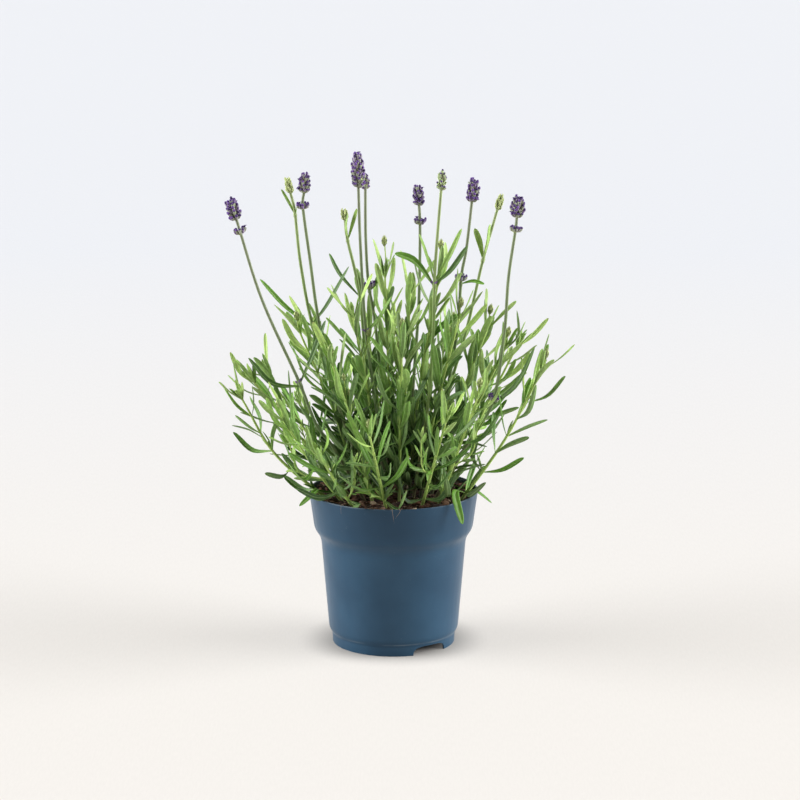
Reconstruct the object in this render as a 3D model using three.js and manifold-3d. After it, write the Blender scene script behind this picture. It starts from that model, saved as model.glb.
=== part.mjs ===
// Potted lavender: a young lavender plant with flower spikes in a round plastic nursery pot.
// Millimetres, +Z up, -Y towards the front. The pot stands on z = 0 with its axis on the Z axis.
import * as THREE from "three";
import { mergeVertices } from "three/addons/utils/BufferGeometryUtils.js";
import Module from "manifold-3d";

const wasm = await Module();
wasm.setup();

// ---- Driving dimensions -------------------------------------------------------------------

const GAP = 0.3; // clearance between pieces that touch

const POT_HEIGHT = 111;
const RIM_RADIUS = 60;
const COLLAR_BOTTOM_Z = 84;
const COLLAR_BOTTOM_RADIUS = 56.3;
const BODY_TOP_Z = 77;
const BODY_TOP_RADIUS = 51.6;
const BODY_BOTTOM_Z = 11;
const BODY_BOTTOM_RADIUS = 46.1;
const FOOT_TOP_Z = 7;
const FOOT_TOP_RADIUS = 43.9;
const FOOT_RADIUS = 43.5;
const POT_WALL = 1.3;
const POT_SEGMENTS = 40;
const DRAIN_HOLES = 6;
const DRAIN_HOLE_RADIUS = 4;
const DRAIN_CIRCLE_RADIUS = 28;
const NOTCH_AZIMUTHS_DEG = [-53, 127]; // the two drainage notches in the foot
const NOTCH_WIDTH = 26;
const NOTCH_HEIGHT = 6.2;
const NOTCH_DEPTH = 12;

const SOIL_TOP = 103;
const SOIL_MOUND = 3;
const SOIL_SEGMENTS = 24;
const SOIL_LUMP = 0.8; // half height of the lumps in the soil's surface
const ROOT_DEPTH = 8; // how far each stem is planted below SOIL_TOP
const SOCKET_CLEARANCE = 1.6 * GAP; // between a stem and the hole it stands in

const LEAF_FLOOR_Z = POT_HEIGHT + 2.5; // shoots' leaves stay above the rim
const LEAF_WIDTH = 5;
const LEAF_THICKNESS = 0.9;
const LEAF_CLEARANCE = 3.4; // leaves look for a place at least this far from other growth
const STALK_RADIUS = 1.25;
const STALK_TIP_RADIUS = 1.06;
const SHOOT_RADIUS = 1.05;
const SHOOT_TIP_RADIUS = 0.6;
const PEDICEL_RADIUS = 0.5;
const BUD_RADIUS = 1.7;
const BUD_LENGTHENING = 2.4; // a bud's length over its width
const STALK_STEPS = 11; // straight lengths that a flower stalk is made of
const SHOOT_STEPS = 7;
const SPIKE_SIDES = 8;
const TOP_NODE = 0.985; // curve parameter of a shoot's last leaves

const COLOURS = {
  pot: { color: 0x3f566b, roughness: 0.42 },
  soil: { color: 0x3a2317, roughness: 1.0 },
  leaf: { color: 0x6f9a48, roughness: 0.65 },
  stalk: { color: 0x788c62, roughness: 0.7 },
  flower: { color: 0x49366f, roughness: 0.8 },
  bud: { color: 0x9cad62, roughness: 0.75 },
};

// Flower stalks. Each runs from its foot in the soil through hand-placed points to the base of
// its head. head is [length, width, slot]; whorls are heights of rings of flowers on the stalk;
// leaves run from the stalk through one bend to their tips, with a width each.
const FLOWER_STALKS = [
  {
    path: [
      [-14, -15], [-41, -20, 144], [-54, -22, 163], [-66, -22, 194], [-91, -27, 253],
      [-108, -30, 310],
    ],
    head: [15.5, 9.5, "flower"],
    whorls: [302],
    leaves: [
      { from: 192, bend: [-55, -22, 215], tip: [-47, -21, 237], width: 4.6 },
      { from: 190, bend: [-85, -24, 193], tip: [-101, -24, 211], width: 4 },
    ],
  },
  {
    path: [
      [-16, 7], [-38, 10, 165], [-56.5, 10, 225], [-65, 10, 270], [-69, 10, 308],
      [-72, 10, 322],
    ],
    head: [10.5, 7, "bud"],
    whorls: [],
    leaves: [
      { from: 306, bend: [-73, 11, 314], tip: [-78.5, 11, 324], width: 2.6 },
      { from: 226, bend: [-76, 12, 240], tip: [-94, 12, 260], width: 4 },
      { from: 228, bend: [-46, 9, 243], tip: [-31, 8, 270], width: 3.6 },
    ],
  },
  {
    path: [
      [-9, -7], [-36, -8, 165], [-51, -8, 227], [-58.5, -8, 281], [-62.7, -8, 314],
      [-62, -8, 325],
    ],
    head: [14, 9, "flower"],
    whorls: [316],
    leaves: [],
  },
  {
    path: [[-8, 13], [-18, 18, 180], [-24, 20, 247], [-32.4, 20, 287], [-34, 20, 301]],
    head: [9, 5.6, "bud"],
    whorls: [],
    leaves: [{ from: 286, bend: [-29, 20, 297], tip: [-25.6, 20, 309], width: 3 }],
  },
  {
    path: [[-4, -12], [-12, -10, 170], [-19.6, -8, 230], [-23, -8, 289], [-24.2, -8, 329]],
    head: [23.5, 10, "flower"],
    whorls: [],
    leaves: [{ from: 226, bend: [-10, -9, 236], tip: [-1, -10, 252], width: 4.4 }],
  },
  {
    path: [
      [-1, 7], [-8, 8, 180], [-13.3, 8, 232], [-17.6, 8, 258], [-19.4, 8, 290],
      [-19.6, 9, 325],
    ],
    head: [12, 8.4, "flower"],
    whorls: [257],
    leaves: [{ from: 252, bend: [-10, 8, 261], tip: [-3, 8, 275], width: 3.6 }],
  },
  {
    path: [
      [8, 17], [14, 26, 180], [17.5, 30, 230], [18.6, 30, 265], [18.7, 30, 298], [18, 30, 310],
    ],
    head: [14.5, 8.5, "flower"],
    whorls: [299],
    leaves: [],
  },
  {
    path: [
      [12, -13], [24, -18, 175], [27.5, -20, 225], [28.4, -20, 262], [30, -20, 290],
      [33, -20, 329],
    ],
    head: [13.5, 7.5, "bud"],
    whorls: [],
    leaves: [
      { from: 261, bend: [15, -20, 278], tip: [1, -20, 284], width: 6.4 },
      { from: 262, bend: [40, -19, 272], tip: [51.5, -18, 289], width: 4 },
    ],
  },
  {
    path: [[19, 5], [36, 12, 170], [45, 15, 222], [47.8, 15, 261], [51.4, 15, 282], [55, 15, 315]],
    head: [16.5, 9.5, "flower"],
    whorls: [261],
    leaves: [{ from: 256, bend: [56, 15, 258], tip: [64, 15, 256], width: 2.8 }],
  },
  {
    path: [
      [16, 21], [36, 30, 165], [50.7, 35, 214], [58, 35, 245], [63.6, 35, 270],
      [73.5, 35, 306],
    ],
    head: [11, 6.4, "bud"],
    whorls: [],
    leaves: [
      { from: 269, bend: [67, 34, 283], tip: [68.5, 32, 296], width: 6 },
      { from: 270, bend: [61, 36, 282], tip: [57.5, 37, 292], width: 4.4 },
    ],
  },
  {
    path: [
      [22, -15], [52, -24, 150], [69, -28, 180], [76.8, -28, 228], [79.5, -28, 268],
      [84, -28, 301], [85, -28, 311],
    ],
    head: [15, 9.5, "flower"],
    whorls: [303, 184],
    leaves: [{ from: 178, bend: [86, -31, 194], tip: [98, -32, 220], width: 5.8 }],
  },
];

// Leafy shoots. foot is the place in the soil and tip the growing point. lean is how far out
// the shoot has gone at half height: a small lean rises first, a large one sprawls first.
// pairs is the number of leaf pairs and leaf their usual length; bud is the length of a thin
// pedicel with a green bud on the tip, where the shoot has one.
const SHOOTS = [
  { foot: [-21, -6], tip: [-98, -14, 192], lean: 0.5, pairs: 8, leaf: 31, bud: 0 },
  { foot: [-33, -9], tip: [-106, -20, 181], lean: 0.66, pairs: 6, leaf: 27, bud: 0 },
  { foot: [-27, -18], tip: [-76, -48, 172], lean: 0.55, pairs: 7, leaf: 30, bud: 14 },
  { foot: [-26, 13], tip: [-90, 34, 186], lean: 0.5, pairs: 7, leaf: 32, bud: 0 },
  { foot: [-22, 3], tip: [-66, -4, 226], lean: 0.4, pairs: 8, leaf: 32, bud: 13 },
  { foot: [-15, 22], tip: [-56, 46, 212], lean: 0.4, pairs: 8, leaf: 33, bud: 12 },
  { foot: [-12, -23], tip: [-42, -42, 210], lean: 0.42, pairs: 8, leaf: 32, bud: 12 },
  { foot: [-9, 0], tip: [-28, -20, 240], lean: 0.35, pairs: 9, leaf: 34, bud: 0 },
  { foot: [-2, 1], tip: [-6, -1, 266], lean: 0.3, pairs: 9, leaf: 32, bud: 26 },
  { foot: [-5, 20], tip: [-22, 34, 240], lean: 0.35, pairs: 9, leaf: 33, bud: 12 },
  { foot: [4, -19], tip: [6, -36, 226], lean: 0.35, pairs: 9, leaf: 33, bud: 14 },
  { foot: [6, 9], tip: [12, 18, 250], lean: 0.35, pairs: 9, leaf: 33, bud: 0 },
  { foot: [10, -4], tip: [31, -4, 260], lean: 0.35, pairs: 9, leaf: 32, bud: 30 },
  { foot: [1, 29], tip: [-2, 62, 206], lean: 0.42, pairs: 8, leaf: 33, bud: 0 },
  { foot: [17, -9], tip: [46, -22, 240], lean: 0.4, pairs: 8, leaf: 34, bud: 12 },
  { foot: [24, 1], tip: [66, 4, 226], lean: 0.42, pairs: 8, leaf: 30, bud: 16 },
  { foot: [14, 27], tip: [42, 56, 214], lean: 0.42, pairs: 8, leaf: 32, bud: 12 },
  { foot: [27, -11], tip: [78, -12, 215], lean: 0.45, pairs: 8, leaf: 31, bud: 14 },
  { foot: [29, 8], tip: [88, 24, 210], lean: 0.5, pairs: 8, leaf: 31, bud: 0 },
  { foot: [24, 21], tip: [72, 62, 178], lean: 0.5, pairs: 7, leaf: 32, bud: 0 },
  { foot: [37, -24], tip: [104, -26, 204], lean: 0.58, pairs: 8, leaf: 29, bud: 12 },
  { foot: [-3, -32], tip: [-16, -78, 168], lean: 0.5, pairs: 7, leaf: 31, bud: 10 },
  { foot: [17, -29], tip: [36, -70, 176], lean: 0.5, pairs: 7, leaf: 31, bud: 0 },
  { foot: [-20, -28], tip: [-50, -72, 152], lean: 0.55, pairs: 6, leaf: 30, bud: 0 },
  { foot: [-8, 33], tip: [-34, 75, 170], lean: 0.5, pairs: 7, leaf: 31, bud: 0 },
  { foot: [10, 36], tip: [24, 76, 172], lean: 0.5, pairs: 7, leaf: 31, bud: 12 },
  { foot: [-19, 30], tip: [-68, 66, 158], lean: 0.55, pairs: 6, leaf: 30, bud: 0 },
  { foot: [28, -24], tip: [58, -56, 190], lean: 0.5, pairs: 7, leaf: 31, bud: 12 },
];

// Leaves that hang over the rim or lie low: which shoot (by number) grows each, and its course.
const STRAY_LEAVES = [
  { shoot: 21, course: [[38.5, -26, 114], [43, -43, 119], [48, -53, 99]], width: 5.4 },
  { shoot: 21, course: [[41, -25, 113], [57, -29, 117], [69, -29, 108]], width: 4 },
  { shoot: 2, course: [[-40, -11, 113], [-54, -24, 116], [-66, -30, 106]], width: 4 },
];

// ---- Random numbers and curves -------------------------------------------------------------

const RANDOM_MULTIPLIER = 16807;
const RANDOM_MODULUS = 2147483647;
let seed = 4711;

function random() {
  seed = (seed * RANDOM_MULTIPLIER) % RANDOM_MODULUS;
  return seed / RANDOM_MODULUS;
}

const jitter = (spread) => (2 * random() - 1) * spread;
const mix = (a, b, u) => a + (b - a) * u;
const radians = THREE.MathUtils.degToRad;
const vector = (p) => new THREE.Vector3(p[0], p[1], p[2]);
const curveThrough = (points) => new THREE.CatmullRomCurve3(points, false, "catmullrom", 0.5);

// ---- Solids --------------------------------------------------------------------------------

function solidOf(geometry) {
  geometry.deleteAttribute("normal");
  geometry.deleteAttribute("uv");
  const merged = mergeVertices(geometry, 1e-4);
  return new wasm.Manifold(
    new wasm.Mesh({
      numProp: 3,
      vertProperties: merged.attributes.position.array,
      triVerts: new Uint32Array(merged.index.array),
    }),
  );
}

function geometryOf(solid) {
  const { vertProperties, triVerts } = solid.getMesh();
  return new THREE.BufferGeometry()
    .setAttribute("position", new THREE.BufferAttribute(vertProperties, 3))
    .setIndex(new THREE.BufferAttribute(triVerts, 1))
    .toNonIndexed();
}

function named(name, solid, slot) {
  const geometry = geometryOf(solid);
  geometry.computeVertexNormals();
  const material = new THREE.MeshStandardMaterial({ ...COLOURS[slot], metalness: 0 });
  const mesh = new THREE.Mesh(geometry, material);
  mesh.name = name;
  return mesh;
}

// A closed shape of height 1 laid along a curve: widthAt and thicknessAt give half sizes at t.
function bentSolid(shape, curve, across, widthAt, thicknessAt) {
  const position = shape.attributes.position;
  const point = new THREE.Vector3();
  for (let i = 0; i < position.count; i++) {
    point.fromBufferAttribute(position, i);
    const t = THREE.MathUtils.clamp(point.y + 0.5, 0, 1);
    const radius = Math.hypot(point.x, point.z);
    const side = radius > 1e-6 ? point.x / radius : 0;
    const front = radius > 1e-6 ? point.z / radius : 0;
    const tangent = curve.getTangent(t);
    const normal = across.clone().cross(tangent).normalize();
    const wide = tangent.clone().cross(normal);
    point
      .copy(curve.getPoint(t))
      .addScaledVector(wide, side * widthAt(t))
      .addScaledVector(normal, front * thicknessAt(t));
    position.setXYZ(i, point.x, point.y, point.z);
  }
  return solidOf(shape);
}

// A square stem, as mint-family stems are, that tapers from foot to tip.
function stemSolid(curve, footRadius, tipRadius, steps) {
  const chord = curve.getPoint(1).sub(curve.getPoint(0));
  const flatter = Math.abs(chord.x) > Math.abs(chord.y);
  const across = flatter ? new THREE.Vector3(0, 1, 0) : new THREE.Vector3(1, 0, 0);
  const radiusAt = (t) => mix(footRadius, tipRadius, t);
  return bentSolid(new THREE.CylinderGeometry(1, 1, 1, 4, steps), curve, across, radiusAt, radiusAt);
}

// A leaf blade: a flat face and a keel, pointed at the stem and at the tip, widest half way.
function bladeSolid(curve, across, width) {
  const widthAt = () => width / Math.sqrt(3);
  const thicknessAt = () => LEAF_THICKNESS / 1.5;
  return bentSolid(new THREE.SphereGeometry(0.5, 3, 2), curve, across, widthAt, thicknessAt);
}

function latheSolid(profile, segments) {
  const points = profile.map(([r, z]) => new THREE.Vector2(r, z));
  return solidOf(new THREE.LatheGeometry(points, segments).rotateX(Math.PI / 2));
}

// Stands a solid made along +Z at a place, facing a direction.
function stand(solid, place, direction) {
  const turn = new THREE.Quaternion().setFromUnitVectors(new THREE.Vector3(0, 0, 1), direction);
  const matrix = new THREE.Matrix4().compose(place, turn, new THREE.Vector3(1, 1, 1));
  return solid.transform(matrix.elements);
}

// ---- Pot and soil --------------------------------------------------------------------------

const innerRadius = (outer) => outer - POT_WALL;

function potSolid() {
  const floorTop = FOOT_TOP_Z + POT_WALL;
  const shell = latheSolid(
    [
      [0, FOOT_TOP_Z],
      [innerRadius(FOOT_TOP_RADIUS), FOOT_TOP_Z],
      [innerRadius(FOOT_RADIUS), 0],
      [FOOT_RADIUS, 0],
      [FOOT_TOP_RADIUS, FOOT_TOP_Z],
      [BODY_BOTTOM_RADIUS, BODY_BOTTOM_Z],
      [BODY_TOP_RADIUS, BODY_TOP_Z],
      [COLLAR_BOTTOM_RADIUS, COLLAR_BOTTOM_Z],
      [RIM_RADIUS, POT_HEIGHT],
      [innerRadius(RIM_RADIUS), POT_HEIGHT],
      [innerRadius(COLLAR_BOTTOM_RADIUS), COLLAR_BOTTOM_Z + POT_WALL],
      [innerRadius(BODY_TOP_RADIUS), BODY_TOP_Z + POT_WALL],
      [innerRadius(BODY_BOTTOM_RADIUS), floorTop + 3],
      [innerRadius(FOOT_TOP_RADIUS), floorTop],
      [0, floorTop],
    ],
    POT_SEGMENTS,
  );
  return shell.subtract(wasm.Manifold.union([...drainHoles(), ...footNotches()]));
}

function drainHoles() {
  return Array.from({ length: DRAIN_HOLES }, (_, i) => {
    const azimuth = (i / DRAIN_HOLES) * 2 * Math.PI;
    const hole = new THREE.CylinderGeometry(DRAIN_HOLE_RADIUS, DRAIN_HOLE_RADIUS, 4 * POT_WALL, 12)
      .rotateX(Math.PI / 2)
      .translate(
        DRAIN_CIRCLE_RADIUS * Math.cos(azimuth),
        DRAIN_CIRCLE_RADIUS * Math.sin(azimuth),
        FOOT_TOP_Z + POT_WALL / 2,
      );
    return solidOf(hole);
  });
}

function footNotches() {
  return NOTCH_AZIMUTHS_DEG.map((azimuth) =>
    solidOf(
      new THREE.BoxGeometry(NOTCH_DEPTH, NOTCH_WIDTH, 2 * NOTCH_HEIGHT)
        .translate(FOOT_RADIUS - NOTCH_DEPTH / 4, 0, 0)
        .rotateZ(radians(azimuth)),
    ),
  );
}

function soilSolid(sockets) {
  const clear = (outer) => innerRadius(outer) - GAP;
  const floor = FOOT_TOP_Z + POT_WALL + GAP;
  const wallSlope = (RIM_RADIUS - COLLAR_BOTTOM_RADIUS) / (POT_HEIGHT - COLLAR_BOTTOM_Z);
  const edgeRadius = clear(COLLAR_BOTTOM_RADIUS) + wallSlope * (SOIL_TOP - COLLAR_BOTTOM_Z);
  const points = [
    [0, floor],
    [clear(FOOT_TOP_RADIUS) - GAP, floor],
    [clear(BODY_BOTTOM_RADIUS) - GAP, floor + 4],
    [clear(BODY_TOP_RADIUS), BODY_TOP_Z + POT_WALL],
    [clear(COLLAR_BOTTOM_RADIUS) - GAP, COLLAR_BOTTOM_Z + POT_WALL + 1],
    [edgeRadius - GAP, SOIL_TOP],
    [0.72 * edgeRadius, SOIL_TOP + 0.5 * SOIL_MOUND],
    [0.38 * edgeRadius, SOIL_TOP + 0.85 * SOIL_MOUND],
    [0, SOIL_TOP + SOIL_MOUND],
  ].map(([r, z]) => new THREE.Vector2(r, z));
  const geometry = new THREE.LatheGeometry(points, SOIL_SEGMENTS).rotateX(Math.PI / 2);
  const position = geometry.attributes.position;
  for (let i = 0; i < position.count; i++) {
    if (position.getZ(i) <= SOIL_TOP) continue;
    const lump = Math.sin(0.31 * position.getX(i) + 1.2) * Math.cos(0.27 * position.getY(i));
    position.setZ(i, position.getZ(i) + SOIL_LUMP * lump);
  }
  return solidOf(geometry).subtract(wasm.Manifold.union(sockets));
}

// The hole in the soil around a planted stem, which follows the stem's first straight lengths.
function socketSolid(curve, radius, steps) {
  const rings = [curve.getPoint(0).addScaledVector(curve.getTangent(0), -GAP)];
  while (rings.at(-1).z < SOIL_TOP + SOIL_MOUND + 1) {
    rings.push(curve.getPoint(rings.length / steps));
  }
  const widened = radius + SOCKET_CLEARANCE;
  const course = rings.length > 2 ? curveThrough(rings) : new THREE.LineCurve3(...rings);
  return stemSolid(course, widened, widened, rings.length - 1);
}

// ---- Leaves --------------------------------------------------------------------------------

const occupied = []; // { point, owner } samples of everything that has grown so far
const LEAF_SAMPLES = [0.35, 0.5, 0.65, 0.8, 0.95];
const TWISTS_DEG = [0, 14, -14, 28, -28, 42, -42, 56, -56, 70];

function occupy(curve, owner, samples) {
  for (const t of samples) occupied.push({ point: curve.getPoint(t), owner });
}

function crowding(curve, owner) {
  const near = LEAF_CLEARANCE * LEAF_CLEARANCE;
  const touches = (t) => {
    const p = curve.getPoint(t);
    return occupied.some((o) => o.owner !== owner && o.point.distanceToSquared(p) < near);
  };
  return LEAF_SAMPLES.filter(touches).length;
}

// The course of one leaf that leaves a stem at a place, turned about the stem by azimuth. angle
// is from the stem; a positive curl turns the tip up along it and a negative one arches it over.
function leafCourse(place, tangent, azimuth, angle, length, curl) {
  const reference = new THREE.Vector3(Math.cos(azimuth), Math.sin(azimuth), 0);
  const side = reference.addScaledVector(tangent, -reference.dot(tangent)).normalize();
  const heading = (a) =>
    tangent.clone().multiplyScalar(Math.cos(a)).addScaledVector(side, Math.sin(a));
  const middle = place.clone().addScaledVector(heading(angle * (1 + curl)), 0.5 * length);
  const tip = middle.clone().addScaledVector(heading(angle * (1 - curl)), 0.5 * length);
  middle.z = Math.max(middle.z, LEAF_FLOOR_Z);
  tip.z = Math.max(tip.z, LEAF_FLOOR_Z);
  return { curve: curveThrough([place, middle, tip]), across: tangent.clone().cross(side) };
}

// Turns a leaf about its stem until it has room, or takes the least crowded place.
function placeLeaf(owner, place, tangent, azimuth, angle, length, curl) {
  let best = null;
  let fewest = Infinity;
  for (const twist of TWISTS_DEG) {
    const leaf = leafCourse(place, tangent, azimuth + radians(twist), angle, length, curl);
    const touches = crowding(leaf.curve, owner);
    if (touches < fewest) {
      fewest = touches;
      best = leaf;
    }
    if (fewest === 0) break;
  }
  occupy(best.curve, owner, LEAF_SAMPLES);
  return best;
}

// Opposite leaves, each pair turned a quarter from the last, longest at mid height.
function shootLeaves(shoot, owner, curve) {
  const leaves = [];
  const turn = random() * Math.PI;
  const lowest = parameterAt(curve, LEAF_FLOOR_Z);
  for (let i = 0; i < shoot.pairs; i++) {
    const u = i / (shoot.pairs - 1);
    const t = mix(lowest, TOP_NODE, Math.pow(u, 0.9));
    const place = curve.getPoint(t);
    const tangent = curve.getTangent(t);
    const azimuth = turn + (i * Math.PI) / 2 + jitter(0.25);
    for (const opposite of [0, Math.PI]) {
      const angle = radians(mix(54, 24, u) + jitter(9));
      const length = shoot.leaf * (0.8 + 0.32 * Math.sin(Math.PI * (0.15 + 0.7 * u)) + jitter(0.12));
      const curl = 0.16 + jitter(0.3);
      leaves.push(placeLeaf(owner, place, tangent, azimuth + opposite, angle, length, curl));
    }
  }
  return leaves;
}

function acrossOf(curve) {
  const chord = curve.getPoint(1).sub(curve.getPoint(0));
  return new THREE.Vector3(-chord.y, chord.x, 0).normalize();
}

// ---- Growth --------------------------------------------------------------------------------

const numbered = (name, i) => `${name}_${String(i + 1).padStart(2, "0")}`;
const rootPoint = ([x, y]) => new THREE.Vector3(x, y, SOIL_TOP - ROOT_DEPTH);
const everyStep = (count) => Array.from({ length: count + 1 }, (_, i) => i / count);

function stalkCurve(stalk) {
  return curveThrough([rootPoint(stalk.path[0]), ...stalk.path.slice(1).map(vector)]);
}

function shootCurve(shoot) {
  const foot = rootPoint(shoot.foot);
  const tip = vector(shoot.tip);
  const bend = foot.clone().lerp(tip, 0.5);
  bend.x = mix(foot.x, tip.x, shoot.lean);
  bend.y = mix(foot.y, tip.y, shoot.lean);
  return curveThrough([foot, bend, tip]);
}

// The curve's parameter at a height, for a curve that only rises.
function parameterAt(curve, z) {
  let low = 0;
  let high = 1;
  for (let i = 0; i < 24; i++) {
    const middle = (low + high) / 2;
    if (curve.getPoint(middle).z < z) low = middle;
    else high = middle;
  }
  return low;
}

// A thin pedicel on the shoot's tip with a pointed green bud.
function pedicelSolids(curve, length) {
  const start = curve.getPoint(TOP_NODE);
  const rise = curve.getTangent(1).lerp(new THREE.Vector3(0, 0, 1), 0.5).normalize();
  const end = start.clone().addScaledVector(rise, length);
  const pedicel = curveThrough([start, start.clone().lerp(end, 0.5), end]);
  const bud = new THREE.OctahedronGeometry(BUD_RADIUS).scale(1, 1, BUD_LENGTHENING);
  const pedicelStem = stemSolid(pedicel, PEDICEL_RADIUS, PEDICEL_RADIUS, 2);
  return [pedicelStem, stand(solidOf(bud), end, rise)];
}

// Four bulging whorls of flowers narrowing to the top.
function spikeSolid(length, width) {
  const r = width / 2;
  return latheSolid(
    [
      [0, 0],
      [0.55 * r, 0.05 * length],
      [r, 0.22 * length],
      [0.82 * r, 0.36 * length],
      [0.98 * r, 0.5 * length],
      [0.78 * r, 0.64 * length],
      [0.8 * r, 0.78 * length],
      [0.4 * r, 0.94 * length],
      [0, length],
    ],
    SPIKE_SIDES,
  );
}

// A ring of flowers round a stalk, which stands clear of it.
function whorlSolid() {
  const inner = STALK_RADIUS + 3 * GAP;
  const profile = [[inner, -2], [3.2, -1.6], [5, 1], [4.2, 3], [inner + 0.3, 1.6], [inner, -2]];
  return latheSolid(profile, SPIKE_SIDES);
}

function plantSolids() {
  const grown = new Map();
  const sockets = [];
  const stalks = FLOWER_STALKS.map((stalk, i) => ({
    ...stalk,
    name: numbered("flower_stalk", i),
    curve: stalkCurve(stalk),
  }));
  const shoots = SHOOTS.map((shoot, i) => ({
    ...shoot,
    name: numbered("leafy_shoot", i),
    curve: shootCurve(shoot),
  }));

  for (const { name, curve } of stalks) {
    occupy(curve, name, everyStep(60));
    const solid = stemSolid(curve, STALK_RADIUS, STALK_TIP_RADIUS, STALK_STEPS);
    grown.set(name, { slot: "stalk", solid });
    sockets.push(socketSolid(curve, STALK_RADIUS, STALK_STEPS));
  }
  for (const { name, curve, bud } of shoots) {
    occupy(curve, name, everyStep(36));
    let solid = stemSolid(curve, SHOOT_RADIUS, SHOOT_TIP_RADIUS, SHOOT_STEPS);
    if (bud > 0) solid = wasm.Manifold.union([solid, ...pedicelSolids(curve, bud)]);
    grown.set(name, { slot: "leaf", solid });
    sockets.push(socketSolid(curve, SHOOT_RADIUS, SHOOT_STEPS));
  }
  addHeads(grown, stalks);

  for (const { name, curve, leaves } of stalks) {
    for (const leaf of leaves) {
      const start = curve.getPoint(parameterAt(curve, leaf.from));
      const course = curveThrough([start, vector(leaf.bend), vector(leaf.tip)]);
      occupy(course, name, LEAF_SAMPLES);
      joinLeaf(grown, name, bladeSolid(course, acrossOf(course), leaf.width));
    }
  }
  for (const { shoot, course, width } of STRAY_LEAVES) {
    const owner = shoots[shoot - 1];
    const [first, ...rest] = course.map(vector);
    const start = owner.curve.getPoint(parameterAt(owner.curve, first.z));
    const leafCurve = curveThrough([start, ...rest]);
    occupy(leafCurve, owner.name, LEAF_SAMPLES);
    joinLeaf(grown, owner.name, bladeSolid(leafCurve, acrossOf(leafCurve), width));
  }
  for (const shoot of shoots) {
    for (const { curve, across } of shootLeaves(shoot, shoot.name, shoot.curve)) {
      joinLeaf(grown, shoot.name, bladeSolid(curve, across, LEAF_WIDTH));
    }
  }
  return { grown, sockets };
}

// Flower heads stand on the stalks' ends, and whorls ring the stalks, each with a small gap.
function addHeads(grown, stalks) {
  let whorlCount = 0;
  stalks.forEach(({ curve, head, whorls }, i) => {
    const [length, width, slot] = head;
    const upward = curve.getTangent(1);
    const base = curve.getPoint(1).addScaledVector(upward, GAP);
    const solid = stand(spikeSolid(length, width), base, upward);
    grown.set(numbered("flower_spike", i), { slot, solid });
    for (const z of whorls) {
      const t = parameterAt(curve, z);
      const ring = stand(whorlSolid(), curve.getPoint(t), curve.getTangent(t));
      grown.set(numbered("flower_whorl", whorlCount), { slot: "flower", solid: ring });
      whorlCount += 1;
    }
  });
}

// A blade joins its own stem unless it would run through another plant part.
function joinLeaf(grown, owner, blade) {
  for (const [name, other] of grown) {
    if (name !== owner && clashes(blade, other.solid)) return;
  }
  const own = grown.get(owner);
  own.solid = own.solid.add(blade);
}

function clashes(a, b) {
  const first = a.boundingBox();
  const second = b.boundingBox();
  const apart = [0, 1, 2].some(
    (k) => first.min[k] > second.max[k] + GAP || second.min[k] > first.max[k] + GAP,
  );
  return !apart && (a.intersect(b).volume() > 1e-6 || a.minGap(b, GAP) < GAP);
}

// ---- Assembly ------------------------------------------------------------------------------

const lavender = new THREE.Group();
const { grown, sockets } = plantSolids();
lavender.add(named("pot", potSolid(), "pot"));
lavender.add(named("potting_soil", soilSolid(sockets), "soil"));
for (const [name, { solid, slot }] of grown) lavender.add(named(name, solid, slot));

export default lavender;
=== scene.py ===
"""Potted lavender: a young lavender plant with flower spikes in a round plastic nursery pot.

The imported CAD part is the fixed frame, and each piece made here stands for one of its nodes.
Sizes are in millimetres until a mesh is made, which is in metres. +Z is up and -Y is the front.
The plant grows by the same rule and the same random numbers as the CAD part, so that each stem
and leaf lies where its solid lies.
"""

import logging
import math
from collections.abc import Callable, Iterator, Sequence
from dataclasses import dataclass, field
from enum import Enum
from functools import lru_cache

import bpy
import numpy as np
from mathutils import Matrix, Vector, noise


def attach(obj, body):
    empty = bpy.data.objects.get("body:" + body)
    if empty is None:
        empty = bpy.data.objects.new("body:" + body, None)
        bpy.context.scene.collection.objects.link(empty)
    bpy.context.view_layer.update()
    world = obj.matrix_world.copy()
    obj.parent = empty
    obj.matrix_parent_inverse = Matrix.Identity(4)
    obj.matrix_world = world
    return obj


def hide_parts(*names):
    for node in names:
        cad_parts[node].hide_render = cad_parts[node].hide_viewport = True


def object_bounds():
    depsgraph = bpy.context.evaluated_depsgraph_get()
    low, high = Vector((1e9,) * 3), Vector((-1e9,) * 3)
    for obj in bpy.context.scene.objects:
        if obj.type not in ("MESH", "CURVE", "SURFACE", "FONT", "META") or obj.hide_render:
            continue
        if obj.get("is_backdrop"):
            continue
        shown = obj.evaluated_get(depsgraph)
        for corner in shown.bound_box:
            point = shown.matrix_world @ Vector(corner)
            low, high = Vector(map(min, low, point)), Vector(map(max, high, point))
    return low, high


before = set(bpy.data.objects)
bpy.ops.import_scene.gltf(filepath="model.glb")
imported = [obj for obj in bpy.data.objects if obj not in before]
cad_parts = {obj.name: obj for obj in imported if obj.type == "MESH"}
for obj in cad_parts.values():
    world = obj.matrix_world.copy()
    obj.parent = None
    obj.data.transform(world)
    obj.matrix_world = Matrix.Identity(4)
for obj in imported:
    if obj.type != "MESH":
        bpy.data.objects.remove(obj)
CAD_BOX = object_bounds()

log = logging.getLogger("lavender")

METRES = 0.001
UP = np.array([0.0, 0.0, 1.0])
FULL_SPIN = 6.3
ROOT_BODY = "root"
SHADES = ("along", "across", "under", "tone", "age")
Array = np.ndarray
Pair = tuple[float, float]
Triple = tuple[float, float, float]
Colour = tuple[float, float, float]
Piece = bpy.types.Object
Material = bpy.types.Material
Socket = bpy.types.NodeSocket


class Slot(Enum):
    """The material slots."""

    POT = "pot_plastic"
    SOIL = "potting_soil"
    STALK = "stalk_green"
    LEAF = "leaf_green"
    FLOWER = "flower_violet"
    BUD = "bud_green"


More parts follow.
